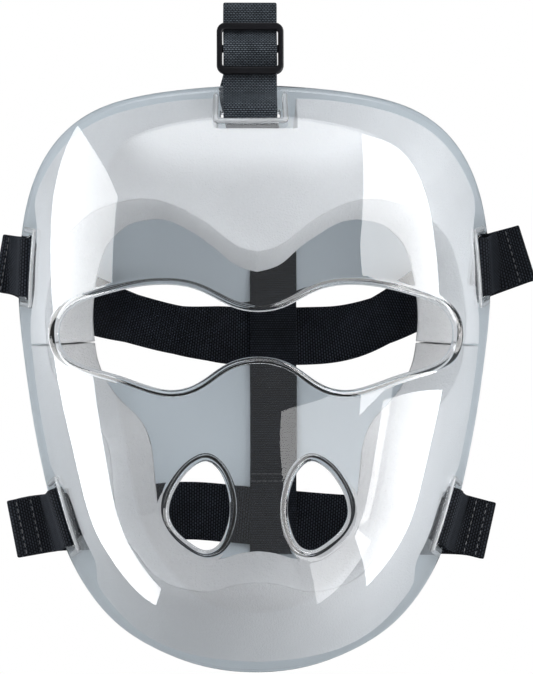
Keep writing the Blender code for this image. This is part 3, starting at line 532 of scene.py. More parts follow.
def slot_middle(end):
    """A slot's own length across the strap and its bar's width, its unrolled middle, and directions along
    it and over it, square to each other and level with the sheet."""
    bar = TOP_BAR if end == "top" else STRAP_ENDS[end]["bar"]
    length = (WEBBING_WIDTH if end == "top" else ELASTIC_WIDTH) + 2 * SLOT_SIDE_CLEARANCE
    middle = wall_line(end, [bar + SLOT_WIDTH / 2])[0]
    along = slot_frame(end)[1]
    normal = slopes([middle])[2][0]
    along = unit(along - normal * (along @ normal))
    return length, bar, middle, along, np.cross(normal, along)


def rounded_rectangle(half_x, half_y, corner, steps):
    """Points round a rectangle: four quarter turns, each moved out to its corner."""
    turns = (np.linspace(0, HALF_TURN / 2, steps) + HALF_TURN / 2 * np.arange(4)[:, None]).ravel()
    x = np.repeat([1, -1, -1, 1], steps) * (half_x - corner) + corner * np.cos(turns)
    y = np.repeat([1, 1, -1, -1], steps) * (half_y - corner) + corner * np.sin(turns)
    return np.stack([x, y], axis=1)


def around_slot(end, grown):
    """The slot's rounded rectangle, grown past the slot's own edge by some length."""
    length, _, middle, along, over = slot_middle(end)
    ring = rounded_rectangle(length / 2 + grown, SLOT_WIDTH / 2 + grown, SLOT_CORNER, SLOT_CORNER_POINTS)
    loop = moved(np.repeat([middle], len(ring), 0), ring[:, :1] * along + ring[:, 1:] * over)
    return spaced_loop(loop, SLOT_POINT_SPACING)


def spaced_loop(loop, spacing):
    """A loop with more points on its long edges, so that no step is longer than the spacing."""
    after = np.roll(loop, -1, axis=0)
    counts = np.maximum(1, np.ceil(np.linalg.norm(after - loop, axis=1) / spacing).astype(int))
    start = np.repeat(np.arange(len(loop)), counts)
    share = np.concatenate([np.arange(n) / n for n in counts])[:, None]
    return loop[start] * (1 - share) + after[start] * share


# %% Build the shell
SHELL_SPACING = 0.0021
SHELL_RIM_POINTS = 460
EYE_POINTS = 270
VENT_POINTS = 96


def build_shell():
    """The whole clear sheet with its openings, their rolled edges and the five strap slots."""
    half = WALL / 2
    rim = unroll(through(real(mirrored(RIM)), SHELL_RIM_POINTS, closed=True))
    rim = moved(rim, edge_frame(rim)[1] * half)
    eye = unroll(through(real(mirrored(EYE)), EYE_POINTS, closed=True))
    right_vent = unroll(through(real(VENT), VENT_POINTS, closed=True))
    slots = [around_slot(end, SLOT_ROUNDING) for end in [*STRAP_ENDS, "top"]]
    vents = [right_vent * (-1, 1), right_vent]
    places, corners = patch(rim, [eye] + vents + slots, SHELL_SPACING)
    edges = [(rim, -1, round_edge(half, WALL)), (eye, 1, lip_edge(EYE_LIP_RADIUS, LIP_REACH))]
    edges += [(vent, 1, lip_edge(VENT_LIP_RADIUS, LIP_REACH)) for vent in vents]
    edges += [(slot, 1, round_edge(SLOT_ROUNDING, WALL, rows=4)) for slot in slots]
    points, normals, faces, _ = slab(places, corners, edges, 0.0, WALL)
    return plant("clear_shell", points, faces, normals)


shell = belongs(build_shell(), "shell", "shell")

# %% [markdown]
# Round three sides of each slot the mould leaves a raised rib of the same clear plastic, which keeps
# the strap's pull from tearing the slot. It is a low rounded bar carried along a bent path that lies
# on the sheet, sunk a little into it so that the two read as one moulding.

# %% Ribs beside the slots
RIB_HEIGHT = 0.0013
RIB_HALF_WIDTH = 0.0012
RIB_SINK = 0.0002
RIB_GAP = 0.0022  # from the slot's edge to the rib's middle
RIB_CORNER = 0.0014
RIB_ARM = 0.75  # how far its arms reach towards the rim, as a share of the bar
RIB_STATIONS = 110
RIB_RING = 11
RIB_CORNER_POINTS = 9
RIB_SQUARENESS = 0.4  # the power that the sine of its cut is raised to
RIB_TAPER = 0.03  # the share of its length over which each end shrinks
RIB_TIP = 0.05


def build_rib(end):
    """A rounded bar along a U round a slot's inner side: its cut is half an oval over the sheet's normal,
    closed below by a flat, and its ends shrink to little."""
    length, bar, middle, along, over = slot_middle(end)
    over = over * np.sign(over @ slot_frame(end)[2])
    half_length = length / 2 + RIB_GAP
    half_width = SLOT_WIDTH / 2 + RIB_GAP
    turn = np.linspace(0, HALF_TURN / 2, RIB_CORNER_POINTS)
    arm = np.linspace(-RIB_ARM * bar, half_width - RIB_CORNER, RIB_CORNER_POINTS)[:-1]
    s = np.concatenate([np.full(len(arm), half_length), half_length - RIB_CORNER * (1 - np.cos(turn))])
    t = np.concatenate([arm, half_width - RIB_CORNER * (1 - np.sin(turn))])
    s, t = np.concatenate([s, -s[::-1]]), np.concatenate([t, t[::-1]])
    path = through(np.stack([s, t], axis=1), RIB_STATIONS)
    places = moved(np.repeat([middle], len(path), 0), path[:, :1] * along + path[:, 1:] * over)
    centre, up = face(places), slopes(places)[2]
    side = np.cross(unit(np.gradient(centre, axis=0)), up)
    run = np.linspace(0, 1, len(path))
    swell = np.clip(np.minimum(run, 1 - run) / RIB_TAPER, RIB_TIP, 1)[:, None, None] ** 0.5
    phase = np.linspace(0, HALF_TURN, RIB_RING)[None, :, None]
    out = np.cos(phase) * RIB_HALF_WIDTH
    high = np.sin(phase) ** RIB_SQUARENESS * RIB_HEIGHT - RIB_SINK
    rings = centre[:, None] + (out * side[:, None] + high * up[:, None]) * swell
    lean = rings - rings.mean(axis=1, keepdims=True)
    index = np.arange(rings.shape[0] * RIB_RING).reshape(-1, RIB_RING)
    points = rings.reshape(-1, 3)
    return points, turned_out(points, lean.reshape(-1, 3), skin(index)), index[0], index[-1][::-1]


def build_ribs():
    """The five ribs as one piece."""
    points, faces, ends, start = [], [], [], 0
    for end in [*STRAP_ENDS, "top"]:
        made, quads, first, last = build_rib(end)
        points.append(made)
        faces.append(quads + start)
        ends += [first + start, last + start]
        start += len(made)
    return plant("slot_ribs", np.vstack(points), [np.vstack(faces), np.array(ends)])


ribs = belongs(build_ribs(), "shell")

# %% [markdown]
# The pads are cut from 20 mm sheets of closed-cell foam and glued inside the shell. A simulation would
# puff them up like cushions; cut foam keeps its flat faces and its nearly square edges, so the pads use
# the sheet's own function again, one foam thickness further in, with walls that wander a little as a
# knife leaves them.

# %% Outlines of the foam
FOAM_THICKNESS = 0.020
GLUE_GAP = 0.0004
FOAM_JOINT_GAP = 0.0004
FOAM_EDGE = 0.0007
FOREHEAD_INNER = [
    (0, 0.427), (0.078, 0.444), (0.172, 0.5), (0.24, 0.54), (0.314, 0.573), (0.392, 0.597), (0.49, 0.605),
    (0.588, 0.591), (0.672, 0.567), (0.74, 0.527), (0.799, 0.476), (0.843, 0.391), (0.87, 0.302),
    (0.882, 0.194), (0.876, 0.113),
]
FOREHEAD_OUTER = [
    (0.165, 0.962), (0.294, 0.957), (0.461, 0.937), (0.62, 0.902), (0.745, 0.848), (0.846, 0.765),
    (0.905, 0.685), (0.936, 0.61), (0.928, 0.53), (0.926, 0.46), (0.931, 0.387), (0.936, 0.29),
    (0.95, 0.225), (0.95, 0.113),
]
CHIN_INNER = [
    (0.876, 0.113), (0.863, 0.05), (0.819, -0.028), (0.745, -0.097), (0.657, -0.157), (0.613, -0.226),
    (0.598, -0.323), (0.588, -0.419), (0.564, -0.512), (0.51, -0.569), (0.451, -0.633), (0.373, -0.681),
    (0.284, -0.702), (0.196, -0.706), (0.108, -0.685), (0, -0.673),
]
CHIN_OUTER = [
    (0.95, 0.113), (0.936, 0.016), (0.914, -0.113), (0.884, -0.242), (0.852, -0.33), (0.797, -0.39),
    (0.755, -0.468), (0.71, -0.565), (0.672, -0.635), (0.668, -0.7), (0.62, -0.765), (0.53, -0.843),
    (0.4, -0.91), (0.2, -0.955), (0, -0.968),
]
NOTCH_HALF_WIDTH = 0.165
NOTCH_FLOOR = 0.855

# %% Build the pads
PAD_POINTS = 130
PAD_POINT_SPACING = 0.0016
PAD_SPACING = 0.0032
CUT_WANDER = 0.0004


def pad_loop(inner, outer, top_pad):
    """Closed unrolled outline of a pad: along its inner edge, across the joint, back along its outer
    edge, and mirrored to the other side."""
    shift = FOAM_JOINT_GAP / 2 if top_pad else -FOAM_JOINT_GAP / 2
    inner = through(real(inner if top_pad else inner[::-1]), PAD_POINTS)
    outer = through(real(outer if top_pad else outer[::-1]), PAD_POINTS)
    inner[-1, 1] += shift
    outer[-1, 1] += shift
    right = [inner, outer[::-1]]
    if top_pad:
        notch = [(NOTCH_HALF_WIDTH, 0.93), (NOTCH_HALF_WIDTH, 0.89), (NOTCH_HALF_WIDTH, NOTCH_FLOOR)]
        right.append(real(notch + [(NOTCH_HALF_WIDTH / 2, NOTCH_FLOOR), (0, NOTCH_FLOOR)]))
    right = np.vstack(right)
    return spaced_loop(unroll(np.vstack([right, right[-2:0:-1] * (-1, 1)])), PAD_POINT_SPACING)


def build_pad(name, inner, outer, top_pad):
    """One pad: the outline set in by its edge's rounding, filled, and walled. Its cut wanders inward by
    the sum of three sines of position, which a mark on the walls' points switches on."""
    loop = pad_loop(inner, outer, top_pad)
    loop = moved(loop, edge_frame(loop)[1] * FOAM_EDGE)
    places, corners = patch(loop, [], PAD_SPACING)
    profile = round_edge(FOAM_EDGE, FOAM_THICKNESS, rows=5, middle=9)
    below = WALL + GLUE_GAP
    points, normals, faces, cut = slab(places, corners, [(loop, -1, profile)], below, FOAM_THICKNESS)
    x, y, z = (points * 1000).T
    wander = 0.5 * np.sin(0.23 * x + 0.31 * y) * np.sin(0.19 * z + 0.11 * x)
    wander += 0.3 * np.sin(0.71 * y - 0.53 * x + 0.9 * z) + 0.2 * np.sin(1.3 * z + 0.9 * x)
    points = points - normals * (cut * (0.5 + 0.5 * wander) * CUT_WANDER)[:, None]
    return plant(name, points, faces, marks={"cut": cut})


forehead_foam = build_pad("forehead_foam", FOREHEAD_INNER, FOREHEAD_OUTER, True)
belongs(forehead_foam, "forehead_pad", "forehead_pad")
chin_foam = build_pad("chin_foam", CHIN_INNER, CHIN_OUTER, False)
belongs(chin_foam, "chin_pad", "chin_pad")

# %% [markdown]
# A strap is a flat band carried along a path: at each place of the path it has a middle, a direction
# across its width, and so a direction of its thickness. The same few stations as in the CAD make the
# path, read here some ten times finer, and the band's cut is flat with rounded edges. A pair of numbers
# in metres, across and along the band, goes with every point, and the weave is drawn on those.

# %% Carrying a band along a path
BAND_SAMPLES = 6000
BAND_COLUMNS = 14
BAND_EDGE_POINTS = 5
BAND_STEP = 0.0007
BAND_SIDE_LEAN = 0.02
RIDGE_ROUNDNESS = 0.6
RIDGED_FROM = 0.6


def band(name, stations, width, thickness, step=BAND_STEP, rib=None):
    """A strap: its middle line is a cubic through the stations, its cut is a flat with half round edges,
    and each edge is lifted where it would sink below what lies under it. Its stations are middles, sides
    and, where something lies below, that height. rib gives a pitch and a height of ridges across it."""
    centres = np.array([s[0] for s in stations], float)
    sides = np.array([s[1] for s in stations], float)
    spans = np.linalg.norm(np.diff(centres, axis=0), axis=1)
    knots = np.concatenate([[0], np.cumsum(np.sqrt(spans))])
    dense = np.linspace(0, knots[-1], BAND_SAMPLES)
    line = cubic(knots, centres, dense)
    run = np.concatenate([[0], np.cumsum(np.linalg.norm(np.diff(line, axis=0), axis=1))])
    length = run[-1]
    even = np.linspace(0, length, int(length / step))
    at = np.interp(even, run, dense)
    path = cubic(knots, centres, at)
    side = unit(np.stack([np.interp(at, knots, sides[:, k]) for k in range(3)], axis=1))
    ahead = unit(cubic(knots, centres, at + SLOPE_STEP) - cubic(knots, centres, at - SLOPE_STEP))
    up = np.cross(ahead, side)
    squareness = np.linalg.norm(up, axis=1, keepdims=True)
    up, side = up / squareness, side / squareness
    least = np.interp(at, knots, [s[2] if len(s) > 2 else 0.0 for s in stations])
    half = thickness / 2
    reach = width / 2 - half
    flat = np.linspace(1, -1, BAND_COLUMNS) * reach
    bend = np.linspace(0, HALF_TURN, BAND_EDGE_POINTS + 2)[1:-1]
    top = np.full(BAND_COLUMNS, half)
    a = np.concatenate([flat, -reach - half * np.sin(bend), -flat, reach + half * np.sin(bend)])
    b = np.concatenate([top, half * np.cos(bend), -top, -half * np.cos(bend)])
    high = np.tile(b, (len(path), 1))
    if rib is not None:
        pitch, depth = rib
        ridge = np.abs(np.sin(np.pi * even / pitch)) ** RIDGE_ROUNDNESS
        high = high - np.sign(high) * (1 - ridge)[:, None] * depth * (np.abs(b) > RIDGED_FROM * half)
    points = path[:, None] + side[:, None] * a[None, :, None] + up[:, None] * high[:, :, None]
    edge_low = [(path + s * side * width / 2)[:, 2] - np.abs(up[:, 2]) * half for s in (1, -1)]
    lifts = [np.maximum(0, least - low) for low in edge_low]
    share = (a / width + 0.5)[None]
    points[:, :, 2] += lifts[0][:, None] * share + lifts[1][:, None] * (1 - share)
    around = len(a)
    index = np.arange(len(path) * around).reshape(-1, around)
    leans = side[:, None] * a[None, :, None] * BAND_SIDE_LEAN + up[:, None] * high[:, :, None]
    points = points.reshape(-1, 3)
    weave = np.stack([np.tile(a, len(path)), np.repeat(even, around)], axis=1)
    quads = turned_out(points, leans.reshape(-1, 3), skin(index))
    caps = np.array([index[0], index[-1][::-1]])
    corner = points[caps[0]]
    if np.cross(corner[1] - corner[0], corner[around // 2] - corner[0]) @ ahead[0] > 0:
        caps = caps[:, ::-1]
    made = plant(name, points, [quads, caps], weave=weave)
    print(name, "is", round(1000 * length), "mm long")
    return made, path, side, up, even


# %% Stations of the side straps
ROUND = math.sqrt(0.5)
BAR_GAP = 0.0013
TAIL_SETBACK = 0.0035
FOLD_SETBACK = 0.0016
TAIL_ENTRY = 0.0015
TAIL_CLIMB = 0.0054
TAIL_RISE = 0.0007
DROP_START = 0.0032
DROP_END = 0.0052
DROP_RISE = 0.0012
LANDING = 0.008
BAR_SHARES = (0.3, 0.65, 1.0)
CROWN_X = 0.008
SLEEVE_HALF_SPAN = 0.024
UPPER_ROUTE = [
    (-0.085, 0.0385, 0), (-0.069, 0.0305, 16), (-0.053, 0.0255, 33), (-0.033, 0.0205, 34),
    (-0.019, 0.0190, 20), (-0.007, 0.0180, 2), (0.022, 0.0180, 2), (0.039, 0.0195, 18),
    (0.054, 0.0245, 32), (0.070, 0.0330, 18), (0.085, 0.0415, 0),
]
LOWER_ROUTE = [
    (-0.060, -0.0605, 0), (-0.032, -0.0575, 0), (-0.008, -0.0590, 0), (0.024, -0.0620, 0),
    (0.050, -0.0635, 0),
]


def strap_end(end):
    """Stations of a strap's sewn end: its tail lies on the strap outside the rim, goes under the rim, up
    the inner face, out through the slot, down the bar, and past the tail to a slanted fold."""
    settings = STRAP_ENDS[end]
    half = ELASTIC_THICKNESS / 2
    bar, overhang = settings["bar"], settings["overhang"]
    rim_place, along, _ = slot_frame(end)
    turn = math.radians(settings["turn"])
    out = np.array([settings["side"] * math.cos(turn), math.sin(turn), 0])
    across = np.cross((0, 0, 1), out) * settings["side"]
    along = along * np.sign(along @ across)
    flat = along * (1, 1, 0)
    rim = face([rim_place])[0]
    floor = half
    tail_height = floor + ELASTIC_THICKNESS + LAYER_GAP
    top_height = tail_height + ELASTIC_THICKNESS + 2 * LAYER_GAP
    wall = wall_line(end, [share * bar for share in BAR_SHARES])
    inner = list(face(wall, WALL + BAR_GAP + half))
    slot = face(wall_line(end, [bar + BAR_GAP + half]), WALL / 2)[0]
    outer = list(face(wall, -(BAR_GAP + half)))[::-1]
    behind = unit(slopes([rim_place])[2][0] * (1, 1, 0))

    def level(distance, height):
        away = out if distance > 0 else behind
        return np.array([rim[0], rim[1], 0]) + away * distance + np.array([0, 0, height])

    fold = (top_height - floor) / 2
    back = math.radians(settings["back"])
    heading = np.array([-settings["side"] * math.cos(back), -math.sin(back), 0])
    past = unit(out - heading)
    crease = np.cross((0, 0, 1), past) * settings["side"]
    heading_side = np.cross(heading, (0, 0, 1)) * settings["side"]
    begun = level(overhang - FOLD_SETBACK, 0)
    on_floor, on_tail = tail_height - half, top_height - half
    stations = [
        (level(overhang - TAIL_SETBACK, tail_height), across, on_floor),
        (level((overhang - TAIL_SETBACK - TAIL_ENTRY) / 2, tail_height), (flat + across) / 2, on_floor),
        (level(-TAIL_ENTRY, tail_height), flat, on_floor),
        (level(-TAIL_CLIMB, tail_height + TAIL_RISE), (flat + along) / 2, on_floor),
    ]
    stations += [(point, along, on_floor) for point in inner] + [(slot, along, on_floor)]
    stations += [(point, along, on_tail) for point in outer]
    stations += [
        (level(DROP_START, top_height + DROP_RISE), along, on_tail),
        (level(DROP_END, top_height), (flat + 3 * crease) / 4, on_tail),
        (begun + (0, 0, top_height), crease, on_tail),
        (begun + past * ROUND * fold + (0, 0, top_height - (1 - ROUND) * fold), crease),
        (begun + past * fold + (0, 0, top_height - fold), crease),
        (begun + past * ROUND * fold + (0, 0, floor + (1 - ROUND) * fold), crease),
        (begun + (0, 0, floor), crease),
        (begun + heading * FOLD_SETBACK + (0, 0, floor), crease),
        (begun + heading * LANDING + (0, 0, floor), heading_side),
    ]
    return stations


def side_stations(left, right, route, rise=0.0):
    """All stations of a side strap: its left end, its way over the surface, and its right end."""
    half = ELASTIC_THICKNESS / 2
    points = np.array(route)
    ahead = np.gradient(points[:, :2], axis=0)
    middle = []
    for (x, y, tip), (dx, dy) in zip(points, ahead):
        lifted = rise * math.exp(-(((x - CROWN_X) / SLEEVE_HALF_SPAN) ** 4))
        up = math.sin(math.radians(tip))
        level = np.array([-dy, dx, 0]) / math.hypot(dx, dy)
        side = level * math.sqrt(1 - up * up) + (0, 0, up)
        middle.append((np.array([x, y, half + lifted + up * ELASTIC_WIDTH / 2]), side))
    return strap_end(left) + middle + strap_end(right)[::-1]


# %% Build the two side straps
upper_stations = side_stations("upper_left", "upper_right", UPPER_ROUTE)
upper, *upper_line = band("upper_strap", upper_stations, ELASTIC_WIDTH, ELASTIC_THICKNESS)
belongs(upper, "upper_elastic", "upper_elastic")
sleeve_rise = ELASTIC_THICKNESS + LAYER_GAP
lower_stations = side_stations("lower_left", "lower_right", LOWER_ROUTE, sleeve_rise)
lower, *lower_line = band("lower_strap", lower_stations, ELASTIC_WIDTH, ELASTIC_THICKNESS)
belongs(lower, "lower_elastic", "lower_elastic")

# %% [markdown]
# The strap down the middle is a narrower elastic with ridges across it, some two millimetres apart. Its
# lower end is folded round the lower strap and sewn to itself, so that it can slide along. The ridges
# are real relief, because their shadows are what the photograph shows of them.

# %% Build the crown strap
CROWN_WIDTH = 0.020
CROWN_TOP = 0.090
CROWN_TAIL = -0.039
CROWN_LOW_FOLD = -0.0757
UPPER_CROSSING = 0.018
LOWER_CROSSING = -0.0602
STEP_MARGIN = 0.006
SLEEVE_MARGIN = 0.004
STEP_RAMP = 0.006
SLEEVE_RAMP = 0.012
DESCENT_RAMP = 0.015
STEP_PLAY = 0.0003
RIDGE_PITCH = 0.002
RIDGE_HEIGHT = 0.00034
CROWN_STEP = 0.00028


def crown_stations():
    """Stations of the crown strap: on the surface, up over the upper strap, down, up over the lower
    strap, round it, and back under it to its tail."""
    half = ELASTIC_THICKNESS / 2
    layer = ELASTIC_THICKNESS + LAYER_GAP
    low, mid, high = half, half + layer, half + 2 * layer
    upper_reach = ELASTIC_WIDTH / 2 + STEP_MARGIN
    lower_reach = ELASTIC_WIDTH / 2 + SLEEVE_MARGIN
    flat_run = CROWN_TOP - UPPER_CROSSING - upper_reach - STEP_RAMP
    fold = (1 - ROUND) * layer
    over_step, over_sleeve = mid + STEP_PLAY, high + STEP_PLAY
    beside_fold = CROWN_LOW_FOLD + layer + STEP_MARGIN / 3
    profile = [
        (CROWN_TOP, low),
        (CROWN_TOP - 0.35 * flat_run, low),
        (CROWN_TOP - 0.8 * flat_run, low),
        (UPPER_CROSSING + upper_reach + STEP_RAMP, low + STEP_PLAY),
        (UPPER_CROSSING + upper_reach, over_step),
        (UPPER_CROSSING, over_step),
        (UPPER_CROSSING - upper_reach, over_step),
        (UPPER_CROSSING - upper_reach - DESCENT_RAMP, mid),
        (LOWER_CROSSING + lower_reach + SLEEVE_RAMP, high - 0.3 * layer),
        (LOWER_CROSSING + lower_reach, over_sleeve),
        (LOWER_CROSSING, over_sleeve),
        (beside_fold, over_sleeve),
        (CROWN_LOW_FOLD + fold, high - fold),
        (CROWN_LOW_FOLD, mid),
        (CROWN_LOW_FOLD + fold, low + fold),
        (beside_fold, low),
        (LOWER_CROSSING, low),
        (LOWER_CROSSING + 0.5 * lower_reach, low),
        (CROWN_TAIL, low),
    ]
    return [(np.array([CROWN_X, y, z]), np.array([1.0, 0, 0])) for y, z in profile]


ridges = (RIDGE_PITCH, RIDGE_HEIGHT)
crown, *crown_line = band("crown_strap", crown_stations(), CROWN_WIDTH, ELASTIC_THICKNESS, CROWN_STEP, ridges)
belongs(crown, "crown_elastic", "crown_elastic")

# %% [markdown]
# The webbing is woven tight and smooth: it goes round the bar above the forehead, through the slide
# buckle, back on itself, and in under the forehead down to the crown strap.

# %% Sizes of the buckle and the webbing's loops
WEBBING_THICKNESS = 0.0014
WEBBING_STEP = 0.0006
WEBBING_BAR_GAP = 0.0008
BUCKLE_LENGTH = 0.0222
BUCKLE_THICKNESS = 0.003
BUCKLE_BAR = 0.0033
BUCKLE_SIDE = 0.0024
BUCKLE_CORNER = 0.0039
CENTRE_BAR = 0.003
CENTRE_BAR_THICKNESS = 0.0018
BUCKLE_PLAY = 0.0004
BUCKLE_DROOP = math.radians(8)
BAR_RUN = 0.0025
BAR_EXIT = 0.004
WEBBING_LOOP_RADIUS = 0.0017
TAIL_OUT = 0.0027
TAIL_DROP = 0.0011
TAIL_TURN = 0.0007
TAIL_DIP = 0.0033
REAR_DROP = 0.0040
JOIN_LEAD = 0.003
JOIN_REST = 0.014
JOIN_PLAY = 0.0001
WEBBING_REAR_X = -0.0042
WEBBING_JOIN = 0.064
WEBBING_FOLD = 0.0345
BUCKLE_OUT = 0.0145
BUCKLE_RISE = 0.0055
TOP_BAR_SHARES = (0.12, 0.4, 0.7, 1.0)
WEBBING_DESCENT = [
    # across in metres, up in half heights, above the surface in depths
    (WEBBING_REAR_X, 0.97, 0.30), (WEBBING_REAR_X / 2, 0.90, 0.205), (0, 0.83, 0.105),
    (CROWN_X / 2, 0.765, 0.042),
]
TOP_RIM = face([slot_frame("top")[0]])[0]
BUCKLE_MIDDLE = TOP_RIM + (0, BUCKLE_OUT, BUCKLE_RISE)

# %% Build the webbing


def from_buckle(out, up):
    """Points given along and above the drooping buckle's middle plane, turned by its droop."""
    out, up = np.asarray(out, float), np.asarray(up, float)
    cos, sin = math.cos(BUCKLE_DROOP), math.sin(BUCKLE_DROOP)
    return BUCKLE_MIDDLE + np.stack([0 * out, out * cos + up * sin, up * cos - out * sin], axis=-1)


def webbing_stations():
    """Stations of the webbing from its tail inside the rim to its join with the crown strap."""
    half = WEBBING_THICKNESS / 2
    _, along, _ = slot_frame("top")
    along = along * np.sign(along[0])
    side = np.array([1.0, 0, 0])
    wall = wall_line("top", [share * TOP_BAR for share in TOP_BAR_SHARES])
    inner = list(face(wall, WALL + WEBBING_BAR_GAP + half))
    slot = face(wall_line("top", [TOP_BAR + WEBBING_BAR_GAP + half]), WALL / 2)[0]
    outer = list(face(wall[1:], -(WEBBING_BAR_GAP + half)))[::-1]
    below = BUCKLE_THICKNESS / 2 + BUCKLE_PLAY + half
    over = CENTRE_BAR_THICKNESS - BUCKLE_THICKNESS / 2 + BUCKLE_PLAY + half
    bars = BUCKLE_LENGTH / 2 - BUCKLE_BAR / 2
    fold_out = WEBBING_FOLD - BUCKLE_OUT
    radius = WEBBING_LOOP_RADIUS
    rear = -(below + 2 * radius)
    stations = [(TOP_RIM + (0, TAIL_OUT, -TAIL_DROP), side), (TOP_RIM + (0, -TAIL_TURN, -TAIL_DIP), side)]
    stations += [(point, along) for point in inner] + [(slot, along)] + [(point, along) for point in outer]
    profile = [
        (-bars, -below),
        (-bars + BAR_RUN, -below + BUCKLE_PLAY),
        (-CENTRE_BAR / 2, over),
        (0, over + BUCKLE_PLAY / 2),
        (CENTRE_BAR / 2, over),
        (bars - BAR_RUN, -below + BUCKLE_PLAY),
        (bars, -below),
        (bars + BAR_EXIT, -below),
        (fold_out - radius, -below),
        (fold_out - (1 - ROUND) * radius, -below - (1 - ROUND) * radius),
        (fold_out, -below - radius),
        (fold_out - (1 - ROUND) * radius, rear + (1 - ROUND) * radius),
        (fold_out - radius, rear),
        (BAR_EXIT, rear),
        (-bars, rear - REAR_DROP),
    ]
    stations += [(from_buckle(out, up), side) for out, up in profile]
    shift = WEBBING_FRONT_X - TOP_RIM[0]
    stations = [(place + (shift, 0, 0), s) for place, s in stations]
    join = half + ELASTIC_THICKNESS + LAYER_GAP
    descent = np.array(WEBBING_DESCENT) * (1, HALF_HEIGHT, DEPTH)
    stations += [(place, side) for place in descent]
    ending = [
        (0.75 * CROWN_X, CROWN_TOP - JOIN_LEAD), (CROWN_X, CROWN_TOP - JOIN_REST), (CROWN_X, WEBBING_JOIN),
    ]
    return stations + [(np.array([x, y, join + JOIN_PLAY]), side) for x, y in ending]


webbing = band("webbing_strap", webbing_stations(), WEBBING_WIDTH, WEBBING_THICKNESS, WEBBING_STEP)[0]
belongs(webbing, "crown_webbing", "crown_webbing")

# %% [markdown]
# The slide buckle is moulded in black nylon: a rounded frame and a bar across its middle that the
# webbing climbs over. Frame and bar are each a superellipse carried along a path, which gives the
# softened edges that catch the light; a bevelled box would do, but its corners meet less smoothly.

# %% Build the buckle
BUCKLE_WINDOW_CORNER = 0.0012
BUCKLE_CORNER_POINTS = 14
BUCKLE_RING = 24
BUCKLE_SQUARENESS = 0.55
BAR_STATIONS = 40
BAR_FLARE = 0.12
BAR_FLARE_START = 0.85


def superellipse(phase, power):
    """Cosine and sine of the phase, each raised to a power with its sign kept."""
    cos, sin = np.cos(phase), np.sin(phase)
    return np.sign(cos) * np.abs(cos) ** power, np.sign(sin) * np.abs(sin) ** power


def build_buckle():
    """The buckle: between its outer and inner outlines the cut is a superellipse, and the middle bar is a
    superellipse drawn straight across, a little wider where it sinks into both sides."""
    window = WEBBING_WIDTH / 2 + BUCKLE_PLAY
    outline = window + BUCKLE_SIDE, BUCKLE_LENGTH / 2, BUCKLE_CORNER, BUCKLE_CORNER_POINTS
    opening = window, BUCKLE_LENGTH / 2 - BUCKLE_BAR, BUCKLE_WINDOW_CORNER, BUCKLE_CORNER_POINTS
    outer, inner = rounded_rectangle(*outline), rounded_rectangle(*opening)
    middle, reach = (outer + inner) / 2, (outer - inner) / 2
    phase = np.linspace(0, 2 * HALF_TURN, BUCKLE_RING, endpoint=False)
    cos, sin = superellipse(phase, BUCKLE_SQUARENESS)
    lean = reach[:, None] * cos[None, :, None]
    high = np.broadcast_to(sin * BUCKLE_THICKNESS / 2, lean.shape[:2])[:, :, None]
    frame_points = np.concatenate([middle[:, None] + lean, high], axis=2).reshape(-1, 3)
    frame_lean = np.concatenate([lean, high], axis=2).reshape(-1, 3)
    index = np.arange(len(frame_points)).reshape(-1, BUCKLE_RING)
    x = np.linspace(-window - BUCKLE_SIDE / 2, window + BUCKLE_SIDE / 2, BAR_STATIONS)
    near_end = np.clip((np.abs(x) / window - BAR_FLARE_START) / (1 - BAR_FLARE_START), 0, 1)
    bar_y = (1 + BAR_FLARE * near_end)[:, None] * cos[None] * CENTRE_BAR / 2
    bar_low = (CENTRE_BAR_THICKNESS - BUCKLE_THICKNESS) / 2
    bar_z = sin[None] * CENTRE_BAR_THICKNESS / 2 + bar_low + 0 * bar_y
    bar_points = np.stack([np.broadcast_to(x[:, None], bar_y.shape), bar_y, bar_z], axis=2).reshape(-1, 3)
    bar_lean = np.stack([0 * bar_y, bar_y, bar_z - bar_low], axis=2).reshape(-1, 3)
    bar_index = np.arange(len(bar_points)).reshape(-1, BUCKLE_RING) + len(frame_points)
    local = np.vstack([frame_points, bar_points])
    points = from_buckle(local[:, 1], local[:, 2]) + local[:, :1] * (1, 0, 0)
    points[:, 0] += WEBBING_FRONT_X - BUCKLE_MIDDLE[0]
    quads = np.vstack([skin(np.vstack([index, index[:1]])), skin(bar_index)])
    caps = np.array([bar_index[0], bar_index[-1][::-1]])
    quads = turned_out(local, np.vstack([frame_lean, bar_lean]), quads)
    return plant("webbing_buckle", points, [quads, caps])


buckle = belongs(build_buckle(), "slide_buckle", "slide_buckle")

# %% [markdown]
# The straps are sewn with short dark stitches: one or two rows across each sewn end of the side straps,
# and two across the sleeve. A stitch is a tiny capsule that dips into the cloth at both ends. One
# capsule is worked out, and all stitches are copies of it.

# %% Sew the stitches
STITCH_LENGTH = 0.0024
STITCH_RADIUS = 0.00028
STITCH_RINGS = 7
STITCH_SIDES = 8
STITCH_DIP = 1.1  # how far its ends sink, in radii
STITCHES_ACROSS = 8
TOP_SKIN = ELASTIC_THICKNESS / 2 + 0.00005
SIDE_SEAM_REACH = 0.0105
SLEEVE_SEAM_REACH = 0.0085
SIDE_SEAMS = {
    "upper_left": [0.0062], "upper_right": [0.0100],
    "lower_left": [0.0085, 0.0150], "lower_right": [0.0075, 0.0125],
}
SIDE_SEAM_LEAST = 0.0035
SLEEVE_SEAMS = (-0.0415, -0.0445)
SLEEVE_SEAM_LEAST = 0.0032


